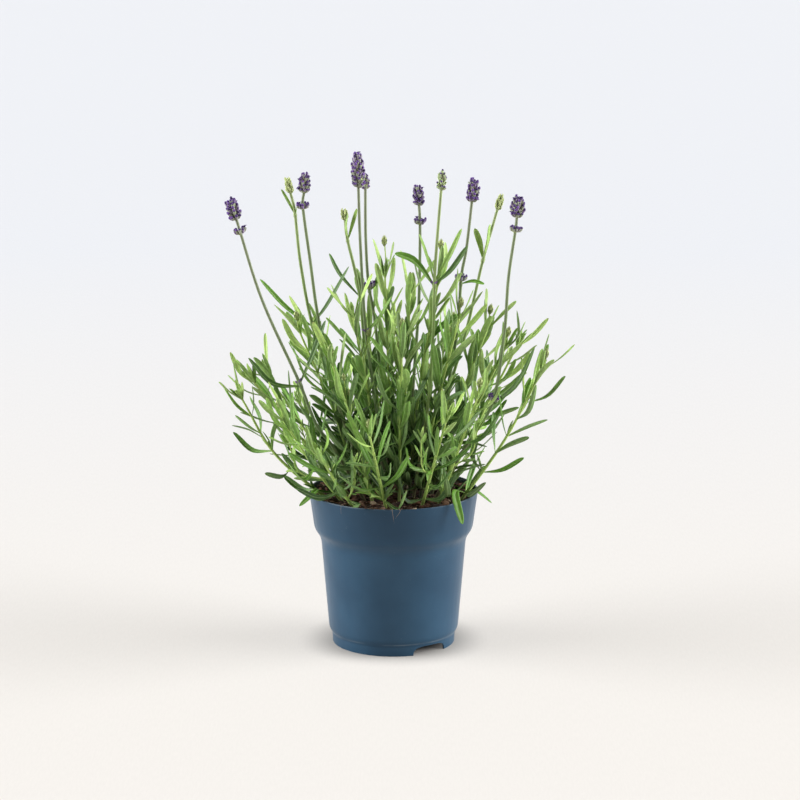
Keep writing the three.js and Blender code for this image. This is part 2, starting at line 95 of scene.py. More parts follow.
class HeadKind(Enum):
    """How far a flower head has opened."""

    VIOLET = "violet"
    GREEN = "green"
    TURNING = "turning"


# ---- Random numbers and curves ----


@dataclass
class GrowthDice:
    """Seeded random numbers that come out alike in every run."""

    seed: int = 4711
    multiplier: int = 16807
    modulus: int = 2147483647

    def roll(self) -> float:
        """Returns the next number between 0 and 1."""
        self.seed = self.seed * self.multiplier % self.modulus
        return self.seed / self.modulus

    def jitter(self, spread: float) -> float:
        """Returns a number between -spread and spread."""
        return (2 * self.roll() - 1) * spread

    def between(self, low: float, high: float) -> float:
        """Returns a number between low and high."""
        return low + (high - low) * self.roll()

    def turn(self) -> float:
        """Returns a turn anywhere round a circle, in radians."""
        return self.roll() * math.tau


def unit(vector: Array) -> Array:
    """Returns vectors scaled to length 1 along their last axis."""
    length = np.linalg.norm(vector, axis=-1, keepdims=True)
    return vector / np.maximum(length, 1e-9)


def frame_of(axis: Array) -> tuple[Array, Array]:
    """Returns two directions at right angles to an axis and each other."""
    side = unit(np.cross((1.0, 0, 0) if abs(axis[0]) < 0.8 else (0, 1.0, 0), axis))
    return side, np.cross(axis, side)


def level(azimuth: float) -> Array:
    """Returns the level direction at an azimuth, in radians from +X."""
    return np.array([math.cos(azimuth), math.sin(azimuth), 0.0])


def leaned(axis: Array, out: Array, angle: float) -> Array:
    """Returns the direction at an angle, in radians, from an axis towards out."""
    return axis * math.cos(angle) + out * math.sin(angle)


def outward(axis: Array, turn: float) -> Array:
    """Returns the direction away from an axis at a turn round it, in radians."""
    return leaned(*frame_of(axis), turn)


def mix(first: float, second: float, share: float) -> float:
    """Returns the value a share of the way from first to second."""
    return first + (second - first) * share


def limited(value: float, low: float = 0.0, high: float = 1.0) -> float:
    """Returns the value, or the limit that it is past."""
    return min(max(value, low), high)


class GrowthCurve:
    """A Catmull-Rom curve through its points, which a stem or leaf grows along."""

    TENSION = 0.5
    STEP = 1e-4
    HALVINGS = 24

    def __init__(self, points: Sequence[Sequence[float]]) -> None:
        """Fits the curve.

        Args:
            points: Its points, in order from foot to tip.
        """
        inner = np.asarray(points, float)
        before = 2 * inner[0] - inner[1]
        after = 2 * inner[-1] - inner[-2]
        self.points = np.vstack([before, inner, after])
        self.spans = len(inner) - 1

    def at(self, t: float | Array) -> Array:
        """Finds places on the curve.

        Args:
            t: One parameter or many, from 0 at the foot to 1 at the tip.

        Returns:
            One point, or one row for each parameter.
        """
        place = np.clip(np.asarray(t, float), 0, 1) * self.spans
        span = np.minimum(place.astype(int), self.spans - 1)
        w = (place - span)[..., None]
        p0, p1, p2, p3 = (self.points[span + k] for k in range(4))
        start = self.TENSION * (p2 - p0)
        end = self.TENSION * (p3 - p1)
        square = -3 * p1 + 3 * p2 - 2 * start - end
        cube = 2 * p1 - 2 * p2 + start + end
        return p1 + start * w + square * w**2 + cube * w**3

    def tangent(self, t: float | Array) -> Array:
        """Returns the unit direction of growth at one parameter or many."""
        t = np.asarray(t, float)
        return unit(self.at(t + self.STEP) - self.at(t - self.STEP))

    def node(self, t: float) -> tuple[Array, Array]:
        """Returns the place and the direction of growth at one parameter."""
        return self.at(t), self.tangent(t)

    def parameter_at(self, height: float) -> float:
        """Finds a height on a curve that only rises.

        Args:
            height: The height, in millimetres.

        Returns:
            The parameter at that height.
        """
        low, high = 0.0, 1.0
        for _ in range(self.HALVINGS):
            middle = (low + high) / 2
            if self.at(middle)[2] < height:
                low = middle
            else:
                high = middle
        return low

    def bowed(self, across: Array, aside: float, sag: float) -> "GrowthCurve":
        """Bends a leaf's course.

        Args:
            across: The direction across the leaf.
            aside: How far its middle moves that way, and its tip the other way.
            sag: How far its tip hangs down.

        Returns:
            The bent copy, with its foot in the same place.
        """
        foot, middle, tip = self.points[1:4]
        middle = middle + across * aside + UP * 0.42 * sag
        return GrowthCurve([foot, middle, tip - across * 0.7 * aside - UP * sag])

    def level_across(self) -> Array:
        """Returns the level direction at right angles to the curve's chord."""
        chord = self.at(1.0) - self.at(0.0)
        return unit(np.array([-chord[1], chord[0], 0.0]))


def sprig(place: Array, heading: Array, later: Array, length: float) -> GrowthCurve:
    """Returns a course from a place, with half its length one way and half another."""
    middle = place + heading * 0.5 * length
    return GrowthCurve([place, middle, middle + later * 0.5 * length])


# ---- Shapes and surfaces ----


@dataclass
class Shape:
    """One closed shape with its faces and the shades of its vertices."""

    points: Array
    quads: Array
    triangles: Array
    shades: dict[str, Array] = field(default_factory=dict)

    def stood(self, place: Array, axis: Array, spin: float, size: Triple) -> "Shape":
        """Stands a copy of this shape, made along +Z, at a place.

        Args:
            place: Where the shape's origin goes.
            axis: The unit direction that its +Z takes.
            spin: The turn about that direction, in radians.
            size: The scale along the shape's own axes.

        Returns:
            The placed shape.
        """
        side, front = frame_of(axis)
        across = math.cos(spin) * side + math.sin(spin) * front
        normal = math.cos(spin) * front - math.sin(spin) * side
        turned = (self.points * np.array(size)) @ np.array([across, normal, axis])
        return Shape(turned + place, self.quads, self.triangles, dict(self.shades))


class Surface:
    """Gathers closed shapes into one mesh, with named shades on its vertices."""

    def __init__(self, name: str) -> None:
        """Starts an empty surface.

        Args:
            name: The name of the piece that it becomes.
        """
        self.name = name
        self.points: list[Array] = []
        self.faces: list[list[int]] = []
        self.finishes: list[int] = []
        self.shades: dict[str, list[Array]] = {shade: [] for shade in SHADES}
        self.count = 0

    def add(self, shape: Shape, finish: int = 0, **shades: float) -> None:
        """Adds one shape.

        Args:
            shape: The closed shape.
            finish: The number of the finish that its faces take.
            **shades: Shades that are the same all over the shape.
        """
        size = len(shape.points)
        for faces in (shape.quads, shape.triangles):
            self.faces.extend((faces + self.count).tolist())
        self.finishes.extend([finish] * (len(shape.quads) + len(shape.triangles)))
        for shade, gathered in self.shades.items():
            value = shades.get(shade, shape.shades.get(shade, 0.0))
            gathered.append(np.broadcast_to(np.asarray(value, float), size))
        self.points.append(shape.points)
        self.count += size

    def piece(self, materials: Sequence[Material]) -> Piece:
        """Makes the mesh object, in metres.

        Args:
            materials: The finishes, in the order of their numbers.

        Returns:
            The new object, smooth shaded.
        """
        mesh = bpy.data.meshes.new(self.name)
        mesh.from_pydata((np.vstack(self.points) * METRES).tolist(), [], self.faces)
        for material in materials:
            mesh.materials.append(material)
        mesh.polygons.foreach_set("material_index", self.finishes)
        mesh.polygons.foreach_set("use_smooth", [True] * len(mesh.polygons))
        for shade, gathered in self.shades.items():
            layer = mesh.attributes.new(shade, "FLOAT", "POINT")
            layer.data.foreach_set("value", np.concatenate(gathered).astype(np.float32))
        mesh.update()
        made = bpy.data.objects.new(self.name, mesh)
        bpy.context.scene.collection.objects.link(made)
        return made


@lru_cache(maxsize=None)
def tube_faces(rings: int, around: int) -> tuple[Array, Array]:
    """Lists the faces of a tube that is closed by a point at each end.

    Args:
        rings: How many rings of vertices there are.
        around: How many vertices a ring has, counterclockwise seen from the tip.

    Returns:
        The quads of the side, and the triangles of the base and then the tip.
    """
    row = np.arange(rings - 1)[:, None] * around
    here = np.arange(around)[None, :]
    after = (here + 1) % around
    quads = np.stack([row + here, row + after, row + around + after, row + around + here], -1)
    base, last = rings * around, (rings - 1) * around
    foot = np.stack([np.full(around, base), after[0], here[0]], -1)
    tip = np.stack([np.full(around, base + 1), last + here[0], last + after[0]], -1)
    return quads.reshape(-1, 4), np.concatenate([foot, tip])


def swept(centre: Array, side: Array, front: Array, across: Array, along: Array) -> Array:
    """Returns rings of vertices round each centre, at distances along its two directions."""
    flat = centre[:, None, :] + side[:, None, :] * across[..., None]
    return flat + front[:, None, :] * along[..., None]


def tube(rings: Array, foot: Array, tip: Array, **shades: Array) -> Shape:
    """Closes rings of vertices into a tube.

    Args:
        rings: The vertices, by ring and then round the ring.
        foot: The point that closes the first ring.
        tip: The point that closes the last ring.
        **shades: Shades by ring and vertex, or by ring alone.

    Returns:
        The closed shape.
    """
    count, around = rings.shape[:2]
    quads, triangles = tube_faces(count, around)
    points = np.vstack([rings.reshape(-1, 3), foot, tip])
    spread = {}
    for shade, value in shades.items():
        value = np.asarray(value, float)
        value = value[:, None] if value.ndim == 1 else value
        value = np.broadcast_to(value, (count, around))
        ends = [value[0].mean(), value[-1].mean()]
        spread[shade] = np.concatenate([value.reshape(-1), ends])
    return Shape(points, quads, triangles, spread)


def turned(profile: Sequence[Pair], around: int, ribs: int = 0,
           depth: float = 0.0) -> Shape:
    """Turns a profile about +Z into a closed shape.

    Args:
        profile: Radius and height pairs. The first and last close the ends on the axis.
        around: How many vertices go round.
        ribs: How many ribs run up the shape.
        depth: How far the ribs stand out, as a share of the radius.

    Returns:
        The closed shape, with the shade "along" from 0 at the foot to 1 at the top.
    """
    angle = np.arange(around) / around * math.tau
    outline = np.array(profile[1:-1], float)
    radius = outline[:, :1] * (1 + depth * np.cos(ribs * angle))[None, :]
    height = np.broadcast_to(outline[:, 1:], radius.shape)
    rings = np.stack([radius * np.cos(angle), radius * np.sin(angle), height], -1)
    top = max(z for _, z in profile)
    ends = np.array([[0, 0, profile[0][1]], [0, 0, profile[-1][1]]], float)
    return tube(rings, ends[0], ends[1], along=height / top)


# ---- Leaves and stems ----


@dataclass(frozen=True)
class BladeForm:
    """The cross-section and the outline of a leaf blade.

    The section is a closed line of places across (1 at the margin) and their heights, as
    shares of the half width. The outline gives the half width along the blade.
    """

    across: tuple[float, ...]
    height: tuple[float, ...]
    under: tuple[float, ...]
    stations: tuple[float, ...]
    outline: tuple[Pair, ...]

    def widths(self) -> Array:
        """Returns the share of the full width at each station."""
        places, widths = zip(*self.outline)
        return np.interp(self.stations, places, widths)


OBLONG = BladeForm(
    across=(1.0, 0.86, 0.52, 0.18, 0.0, -0.18, -0.52, -0.86, -1.0, -0.88, -0.5, -0.17, 0.0,
            0.17, 0.5, 0.88),
    height=(-0.05, 0.04, 0.09, 0.03, -0.05, 0.03, 0.09, 0.04, -0.05, -0.15, -0.06, -0.12,
            -0.22, -0.12, -0.06, -0.15),
    under=(0.4, 0, 0, 0, 0, 0, 0, 0, 0.4, 1, 1, 1, 1, 1, 1, 1),
    stations=(0.0, 0.05, 0.13, 0.23, 0.34, 0.45, 0.56, 0.67, 0.77, 0.86, 0.93, 0.972, 0.992),
    outline=((0, 0.3), (0.05, 0.34), (0.13, 0.46), (0.25, 0.68), (0.4, 0.88), (0.56, 1.0),
             (0.7, 1.0), (0.8, 0.94), (0.88, 0.82), (0.94, 0.64), (0.975, 0.42), (0.992, 0.2)),
)
SLIM = BladeForm(
    across=(1.0, 0.5, 0.0, -0.5, -1.0, -0.5, 0.0, 0.5),
    height=(-0.04, 0.1, -0.02, 0.1, -0.04, -0.1, -0.24, -0.1),
    under=(0.4, 0, 0, 0, 0.4, 1, 1, 1),
    stations=(0.0, 0.12, 0.3, 0.5, 0.7, 0.86, 0.96),
    outline=((0, 0.35), (0.12, 0.5), (0.3, 0.8), (0.5, 1.0), (0.7, 0.96), (0.86, 0.72),
             (0.96, 0.34)),
)
SCALE = BladeForm(
    across=SLIM.across,
    height=SLIM.height,
    under=SLIM.under,
    stations=(0.0, 0.2, 0.4, 0.6, 0.8, 0.93),
    outline=((0, 0.75), (0.2, 0.95), (0.4, 1.0), (0.6, 0.86), (0.8, 0.52), (0.93, 0.2)),
)


@dataclass
class Leaf:
    """One leaf: its course, the way it faces, and its own character."""

    course: GrowthCurve
    across: Array
    width: float
    form: BladeForm = OBLONG
    fold: float = 0.2
    roll: float = 0.0
    twist: float = 0.0
    tone: float = 0.5
    age: float = 0.4

    def shape(self) -> Shape:
        """Returns the closed blade, with its shades."""
        t = np.array(self.form.stations)
        centre = self.course.at(t)
        along = self.course.tangent(t)
        side = unit(self.across - along * (along @ self.across)[:, None])
        normal = np.cross(along, side)
        angle = (self.roll + self.twist * t)[:, None]
        wide = side * np.cos(angle) + normal * np.sin(angle)
        face = normal * np.cos(angle) - side * np.sin(angle)
        u = np.array(self.form.across)[None, :]
        half = 0.5 * self.width * self.form.widths()[:, None]
        lift = np.array(self.form.height)[None, :] + self.fold * np.abs(u) ** 1.6
        return tube(
            swept(centre, wide, face, u * half, lift * half), centre[0], self.course.at(1.0),
            along=t, across=u, under=np.array(self.form.under)[None, :],
            tone=np.full(len(t), self.tone), age=np.full(len(t), self.age),
        )


def squareness(cosine: Array, sine: Array, power: float) -> Array:
    """Returns the radius of a rounded square: 2 makes it round, and more makes it square."""
    return (np.abs(cosine) ** power + np.abs(sine) ** power) ** (-1 / power)


def stem_shape(course: GrowthCurve, radius_at: Callable[[Array], Array],
               stations: int, around: int = 12, power: float = 3.2) -> Shape:
    """Makes a stem with a rounded square section.

    Args:
        course: The curve that it follows.
        radius_at: Half its thickness at each parameter.
        stations: How many rings it has.
        around: How many vertices a ring has.
        power: 2 makes it round, and more makes it square.

    Returns:
        The closed stem.
    """
    t = np.linspace(0, 1, stations)
    centre = course.at(t)
    along = course.tangent(t)
    chord = course.at(1.0) - course.at(0.0)
    flatter = abs(chord[0]) > abs(chord[1])
    reference = np.array([0.0, 1, 0]) if flatter else np.array([1.0, 0, 0])
    side = unit(reference - along * (along @ reference)[:, None])
    normal = np.cross(along, side)
    angle = np.arange(around) / around * math.tau
    cosine, sine = np.cos(angle), np.sin(angle)
    squared = squareness(cosine, sine, power)
    radius = radius_at(t)[:, None] * squared[None, :]
    rings = swept(centre, side, normal, radius * cosine, radius * sine)
    tip = centre[-1] + along[-1] * radius_at(t)[-1] * 0.5
    # The across shade runs from 0 mid-face to 1 at the corners; the stem finishes paint shade and
    # light by it.
    ridges = np.abs(np.sin(2 * angle))[None, :]
    return tube(rings, centre[0], tip, along=t, across=ridges)


def grown_body(course: GrowthCurve, profile: Sequence[Pair], around: int,
               ribs: int = 0, depth: float = 0.0) -> Shape:
    """Makes a round body that follows a curve, such as a calyx or a bud.

    Args:
        course: The curve that it follows.
        profile: Radius and parameter pairs. The first and last close the ends on the curve.
        around: How many vertices go round.
        ribs: How many ribs run along the body.
        depth: How far the ribs stand out, as a share of the radius.

    Returns:
        The closed body, with the shade "along" from 0 at its foot to 1 at its tip.
    """
    t = np.array([share for _, share in profile[1:-1]])
    centre, along = course.at(t), course.tangent(t)
    helper = frame_of(course.tangent(0.5))[0]
    side = unit(helper - along * (along @ helper)[:, None])
    normal = np.cross(along, side)
    angle = np.arange(around) / around * math.tau
    radius = np.array([r for r, _ in profile[1:-1]])[:, None]
    radius = radius * (1 + depth * np.cos(ribs * angle))[None, :]
    rings = swept(centre, side, normal, radius * np.cos(angle), radius * np.sin(angle))
    return tube(rings, course.at(profile[0][1]), course.at(profile[-1][1]), along=t)


# ---- The plant's plan and its rule of growth ----


@dataclass(frozen=True)
class NodeLeaf:
    """A leaf at a node of a flower stalk: the node's height, the bend, the tip and the width."""

    start: float
    bend: Triple
    tip: Triple
    width: float
    age: float = 0.6
    tone: float = 0.5


@dataclass(frozen=True)
class StalkPlan:
    """The course of a flower stalk, its head, its rings of flowers and its leaves."""

    foot: Pair
    path: tuple[Triple, ...]
    length: float
    width: float
    kind: HeadKind
    whorls: tuple[float, ...] = ()
    leaves: tuple[NodeLeaf, ...] = ()
    node_buds: tuple[float, ...] = ()
    axil_leaves: tuple[NodeLeaf, ...] = ()


@dataclass(frozen=True)
class ShootPlan:
    """A leafy shoot: foot, growing point, lean, leaf pairs, leaf length and pedicel length."""

    foot: Pair
    tip: Triple
    lean: float
    pairs: int
    leaf: float
    bud: float


@dataclass(frozen=True)
class StrayLeaf:
    """A leaf over the rim: the number of its shoot, its height there, its course and width."""

    shoot: int
    start: float
    bend: Triple
    tip: Triple
    width: float


STALKS = (
    StalkPlan(
        (-14, -15),
        ((-41, -20, 144), (-54, -22, 163), (-66, -22, 194), (-91, -27, 253), (-108, -30, 310)),
        15.5, 11, HeadKind.VIOLET, (302,),
        (
            NodeLeaf(192, (-55, -22, 215), (-47, -21, 237), 4.6, 0.85, 0.2),
            NodeLeaf(190, (-85, -24, 193), (-101, -24, 211), 4, 0.8, 0.3),
        ),
        (193,),
    ),
    StalkPlan(
        (-16, 7),
        ((-38, 10, 165), (-56.5, 10, 225), (-65, 10, 270), (-69, 10, 308), (-72, 10, 322)),
        10.5, 7, HeadKind.GREEN, (),
        (
            NodeLeaf(306, (-73, 11, 314), (-78.5, 11, 324), 2.6, 0.15, 0.6),
            NodeLeaf(226, (-76, 12, 240), (-94, 12, 260), 4, 0.45, 0.6),
            NodeLeaf(228, (-46, 9, 243), (-31, 8, 270), 3.6, 0.7, 0.05),
        ),
        (),
        (NodeLeaf(305, (-67.5, 9, 311), (-66.5, 8, 316), 2.4, 0.1, 0.7),),
    ),
    StalkPlan(
        (-9, -7),
        ((-36, -8, 165), (-51, -8, 227), (-58.5, -8, 281), (-62.7, -8, 314), (-62, -8, 325)),
        14, 9, HeadKind.VIOLET, (316,),
    ),
    StalkPlan(
        (-8, 13),
        ((-18, 18, 180), (-24, 20, 247), (-32.4, 20, 287), (-34, 20, 301)),
        9, 5.6, HeadKind.GREEN, (),
        (NodeLeaf(286, (-29, 20, 297), (-25.6, 20, 309), 3, 0.1, 0.5),),
        (),
        (
            NodeLeaf(285, (-33.6, 18.5, 296), (-32.4, 17.5, 306), 3.6, 0.12, 0.8),
            NodeLeaf(246, (-37.8, 20, 262), (-45.4, 20, 277), 3.2, 0.6, 0.15),
        ),
    ),
    StalkPlan(
        (-4, -12),
        ((-12, -10, 170), (-19.6, -8, 230), (-23, -8, 289), (-24.2, -8, 329)),
        23.5, 10, HeadKind.VIOLET, (),
        (NodeLeaf(226, (-10, -9, 236), (-1, -10, 252), 4.4, 0.35, 0.6),),
        (227,),
    ),
    StalkPlan(
        (-1, 7),
        ((-8, 8, 180), (-13.3, 8, 232), (-17.6, 8, 258), (-19.4, 8, 290), (-19.6, 9, 325)),
        10.5, 6.6, HeadKind.VIOLET, (257,),
        (NodeLeaf(252, (-10, 8, 261), (-3, 8, 275), 3.6, 0.35, 0.5),),
    ),
    StalkPlan(
        (8, 17),
        ((14, 26, 180), (17.5, 30, 230), (18.6, 30, 265), (18.7, 30, 298), (18, 30, 310)),
        14.5, 9, HeadKind.VIOLET, (299,),
    ),
    StalkPlan(
        (12, -13),
        ((24, -18, 175), (27.5, -20, 225), (28.4, -20, 262), (30, -20, 290), (33, -20, 329)),
        13.5, 7.5, HeadKind.TURNING, (),
        (
            NodeLeaf(261, (15, -20, 278), (1, -20, 284), 6.4, 0.6, 0.6),
            NodeLeaf(262, (40, -19, 272), (51.5, -18, 289), 4, 0.6, 0.1),
        ),
        (263,),
        (
            NodeLeaf(264, (22.5, -21, 284), (17.7, -21, 298), 3.8, 0.3, 0.7),
            NodeLeaf(264, (39, -18, 282), (47.5, -17, 301), 4.2, 0.25, 0.7),
        ),
    ),
    StalkPlan(
        (19, 5),
        ((36, 12, 170), (45, 15, 222), (47.8, 15, 261), (51.4, 15, 282), (55, 15, 315)),
        16.5, 10, HeadKind.VIOLET, (261,),
        (NodeLeaf(256, (56, 15, 258), (64, 15, 256), 2.8, 0.5, 0.6),),
    ),
    StalkPlan(
        (16, 21),
        ((36, 30, 165), (50.7, 35, 214), (58, 35, 245), (63.6, 35, 270), (73.5, 35, 306)),
        11, 6.4, HeadKind.GREEN, (),
        (
            NodeLeaf(269, (67, 34, 283), (68.5, 32, 296), 6, 0.15, 0.8),
            NodeLeaf(270, (61, 36, 282), (57.5, 37, 292), 4.4, 0.1, 0.45),
        ),
    ),
    StalkPlan(
        (22, -15),
        (
            (52, -24, 150), (69, -28, 180), (76.8, -28, 228), (79.5, -28, 268),
            (84, -28, 301), (85, -28, 311),
        ),
        15, 11.4, HeadKind.VIOLET, (303, 184),
        (NodeLeaf(178, (86, -31, 194), (98, -32, 220), 5.8, 0.8, 0.25),),
    ),
)

SHOOTS = (
    ShootPlan((-21, -6), (-98, -14, 192), 0.5, 8, 31, 0),
    ShootPlan((-33, -9), (-106, -20, 181), 0.66, 6, 27, 0),
    ShootPlan((-27, -18), (-76, -48, 172), 0.55, 7, 30, 14),
    ShootPlan((-26, 13), (-90, 34, 186), 0.5, 7, 32, 0),
    ShootPlan((-22, 3), (-66, -4, 226), 0.4, 8, 32, 13),
    ShootPlan((-15, 22), (-56, 46, 212), 0.4, 8, 33, 12),
    ShootPlan((-12, -23), (-42, -42, 210), 0.42, 8, 32, 12),
    ShootPlan((-9, 0), (-28, -20, 240), 0.35, 9, 34, 0),
    ShootPlan((-2, 1), (-6, -1, 266), 0.3, 9, 32, 26),
    ShootPlan((-5, 20), (-22, 34, 240), 0.35, 9, 33, 12),
    ShootPlan((4, -19), (6, -36, 226), 0.35, 9, 33, 14),
    ShootPlan((6, 9), (12, 18, 250), 0.35, 9, 33, 0),
    ShootPlan((10, -4), (31, -4, 260), 0.35, 9, 32, 30),
    ShootPlan((1, 29), (-2, 62, 206), 0.42, 8, 33, 0),
    ShootPlan((17, -9), (46, -22, 240), 0.4, 8, 34, 12),
    ShootPlan((24, 1), (66, 4, 226), 0.42, 8, 30, 16),
    ShootPlan((14, 27), (42, 56, 214), 0.42, 8, 32, 12),
    ShootPlan((27, -11), (78, -12, 215), 0.45, 8, 31, 14),
    ShootPlan((29, 8), (88, 24, 210), 0.5, 8, 31, 0),
    ShootPlan((24, 21), (72, 62, 178), 0.5, 7, 32, 0),
    ShootPlan((37, -24), (104, -26, 204), 0.58, 8, 29, 12),
    ShootPlan((-3, -32), (-16, -78, 168), 0.5, 7, 31, 10),
    ShootPlan((17, -29), (36, -70, 176), 0.5, 7, 31, 0),
    ShootPlan((-20, -28), (-50, -72, 152), 0.55, 6, 30, 0),
    ShootPlan((-8, 33), (-34, 75, 170), 0.5, 7, 31, 0),
    ShootPlan((10, 36), (24, 76, 172), 0.5, 7, 31, 12),
    ShootPlan((-19, 30), (-68, 66, 158), 0.55, 6, 30, 0),
    ShootPlan((28, -24), (58, -56, 190), 0.5, 7, 31, 12),
)

WAISTED_HEADS = (0, 8, 10)

STRAY_LEAVES = (
    StrayLeaf(21, 114, (43, -43, 119), (48, -53, 99), 5.4),
    StrayLeaf(21, 113, (57, -29, 117), (69, -29, 108), 4),
    StrayLeaf(2, 113, (-54, -24, 116), (-66, -30, 106), 4),
)


@dataclass
class GrownLeaf:
    """Where a leaf has found room: its course, the way it faces, and its place on the shoot."""

    course: GrowthCurve
    across: Array
    share: float


@dataclass
class GrowthRule:
    """Lays out the whole plant as the CAD part does, so that leaves find room among the rest."""

    soil_top: float = 103
    root_depth: float = 8
    leaf_floor: float = 113.5
    clearance: float = 3.4
    top_node: float = 0.985
    samples: tuple[float, ...] = (0.35, 0.5, 0.65, 0.8, 0.95)
    twists: tuple[float, ...] = (0, 14, -14, 28, -28, 42, -42, 56, -56, 70)
    most_samples: int = 6000

    def __post_init__(self) -> None:
        """Makes every stem's curve, and then every leaf's in the CAD part's own order."""
        self.dice = GrowthDice()
        self.taken = np.zeros((self.most_samples, 3))
        self.owners = np.full(self.most_samples, -1)
        self.count = 0
        self.stalks = [self.stalk_curve(plan) for plan in STALKS]
        self.shoots = [self.shoot_curve(plan) for plan in SHOOTS]
        for number, curve in enumerate(self.stalks + self.shoots):
            steps = 60 if number < len(STALKS) else 36
            self.occupy(curve, number, np.linspace(0, 1, steps + 1))
        self.stalk_leaves = [self.node_leaves(i, plan) for i, plan in enumerate(STALKS)]
        self.stray_leaves = [self.stray_leaf(plan) for plan in STRAY_LEAVES]
        self.shoot_leaves = [self.pairs(i, plan) for i, plan in enumerate(SHOOTS)]

    def stalk_curve(self, plan: StalkPlan) -> GrowthCurve:
        """Returns the course of a flower stalk."""
        return GrowthCurve([(*plan.foot, self.soil_top - self.root_depth), *plan.path])

    def shoot_curve(self, plan: ShootPlan) -> GrowthCurve:
        """Lays out a leafy shoot.

        Args:
            plan: The shoot's foot, growing point and lean.

        Returns:
            Its course.
        """
        foot = np.array([*plan.foot, self.soil_top - self.root_depth], float)
        tip = np.array(plan.tip, float)
        bend = (foot + tip) / 2
        bend[:2] = foot[:2] + (tip[:2] - foot[:2]) * plan.lean
        return GrowthCurve([foot, bend, tip])

    def occupy(self, curve: GrowthCurve, owner: int, samples: Sequence[float]) -> None:
        """Marks places along a curve as taken.

        Args:
            curve: The stem or leaf.
            owner: The number of the stem that it belongs to.
            samples: The parameters of the places.
        """
        end = self.count + len(samples)
        self.taken[self.count:end] = curve.at(np.asarray(samples))
        self.owners[self.count:end] = owner
        self.count = end

    def crowding(self, curve: GrowthCurve, owner: int) -> int:
        """Finds how crowded a leaf would be.

        Args:
            curve: The leaf's course.
            owner: The number of its own stem.

        Returns:
            How many places on it come too near other stems' growth.
        """
        others = self.taken[: self.count][self.owners[: self.count] != owner]
        places = curve.at(np.array(self.samples))
        square = ((others[None] - places[:, None]) ** 2).sum(-1)
        return int((square < self.clearance**2).any(1).sum())

    def node_leaves(self, number: int, plan: StalkPlan) -> list[GrowthCurve]:
        """Lays out a flower stalk's leaves.

        Args:
            number: The stalk's number.
            plan: The stalk's plan.

        Returns:
            Their courses.
        """
        courses = []
        curve = self.stalks[number]
        for leaf in plan.leaves:
            start = curve.at(curve.parameter_at(leaf.start))
            course = GrowthCurve([start, leaf.bend, leaf.tip])
            self.occupy(course, number, self.samples)
            courses.append(course)
        return courses

    def stray_leaf(self, plan: StrayLeaf) -> GrowthCurve:
        """Lays out a leaf that hangs over the rim.

        Args:
            plan: The leaf's shoot, bend and tip.

        Returns:
            Its course.
        """
        curve = self.shoots[plan.shoot - 1]
        start = curve.at(curve.parameter_at(plan.start))
        course = GrowthCurve([start, plan.bend, plan.tip])
        self.occupy(course, len(STALKS) + plan.shoot - 1, self.samples)
        return course

    def leaf_course(self, place: Array, tangent: Array, azimuth: float,
                    angle: float, length: float, curl: float) -> tuple[GrowthCurve, Array]:
        """Lays out one leaf.

        Args:
            place: Where it leaves the stem.
            tangent: The stem's direction there.
            azimuth: The leaf's turn about the stem, in radians.
            angle: The angle between leaf and stem, in radians.
            length: The leaf's length.
            curl: How much it bends: up along the stem if positive, over and down if negative.

        Returns:
            The leaf's course, and the direction across its blade.
        """
        reference = level(azimuth)
        side = unit(reference - tangent * (reference @ tangent))
        middle = place + leaned(tangent, side, angle * (1 + curl)) * 0.5 * length
        tip = middle + leaned(tangent, side, angle * (1 - curl)) * 0.5 * length
        middle[2] = max(middle[2], self.leaf_floor)
        tip[2] = max(tip[2], self.leaf_floor)
        return GrowthCurve([place, middle, tip]), np.cross(tangent, side)

    def pairs(self, number: int, plan: ShootPlan) -> list[GrownLeaf]:
        """Lays out a shoot's leaves: opposite pairs, each turned a quarter from the last.

        Args:
            number: The shoot's number.
            plan: The shoot's plan.

        Returns:
            The leaves, each turned until it has room.
        """
        grown = []
        owner = len(STALKS) + number
        curve = self.shoots[number]
        turn = self.dice.roll() * math.pi
        lowest = curve.parameter_at(self.leaf_floor)
        for i in range(plan.pairs):
            share = i / (plan.pairs - 1)
            t = mix(lowest, self.top_node, share**0.9)
            place, tangent = curve.node(t)
            azimuth = turn + i * math.pi / 2 + self.dice.jitter(0.25)
            for opposite in (0.0, math.pi):
                angle = math.radians(mix(54, 24, share) + self.dice.jitter(9))
                fullness = 0.8 + 0.32 * math.sin(math.pi * (0.15 + 0.7 * share))
                length = plan.leaf * (fullness + self.dice.jitter(0.12))
                curl = 0.16 + self.dice.jitter(0.3)
                best, fewest = None, len(self.samples) + 1
                for twist in self.twists:
                    heading = azimuth + opposite + math.radians(twist)
                    leaf = self.leaf_course(place, tangent, heading, angle, length, curl)
                    touches = self.crowding(leaf[0], owner)
                    if touches < fewest:
                        best, fewest = leaf, touches
                    if fewest == 0:
                        break
                self.occupy(best[0], owner, self.samples)
                grown.append(GrownLeaf(best[0], best[1], share))
        return grown


# ---- Finishes ----


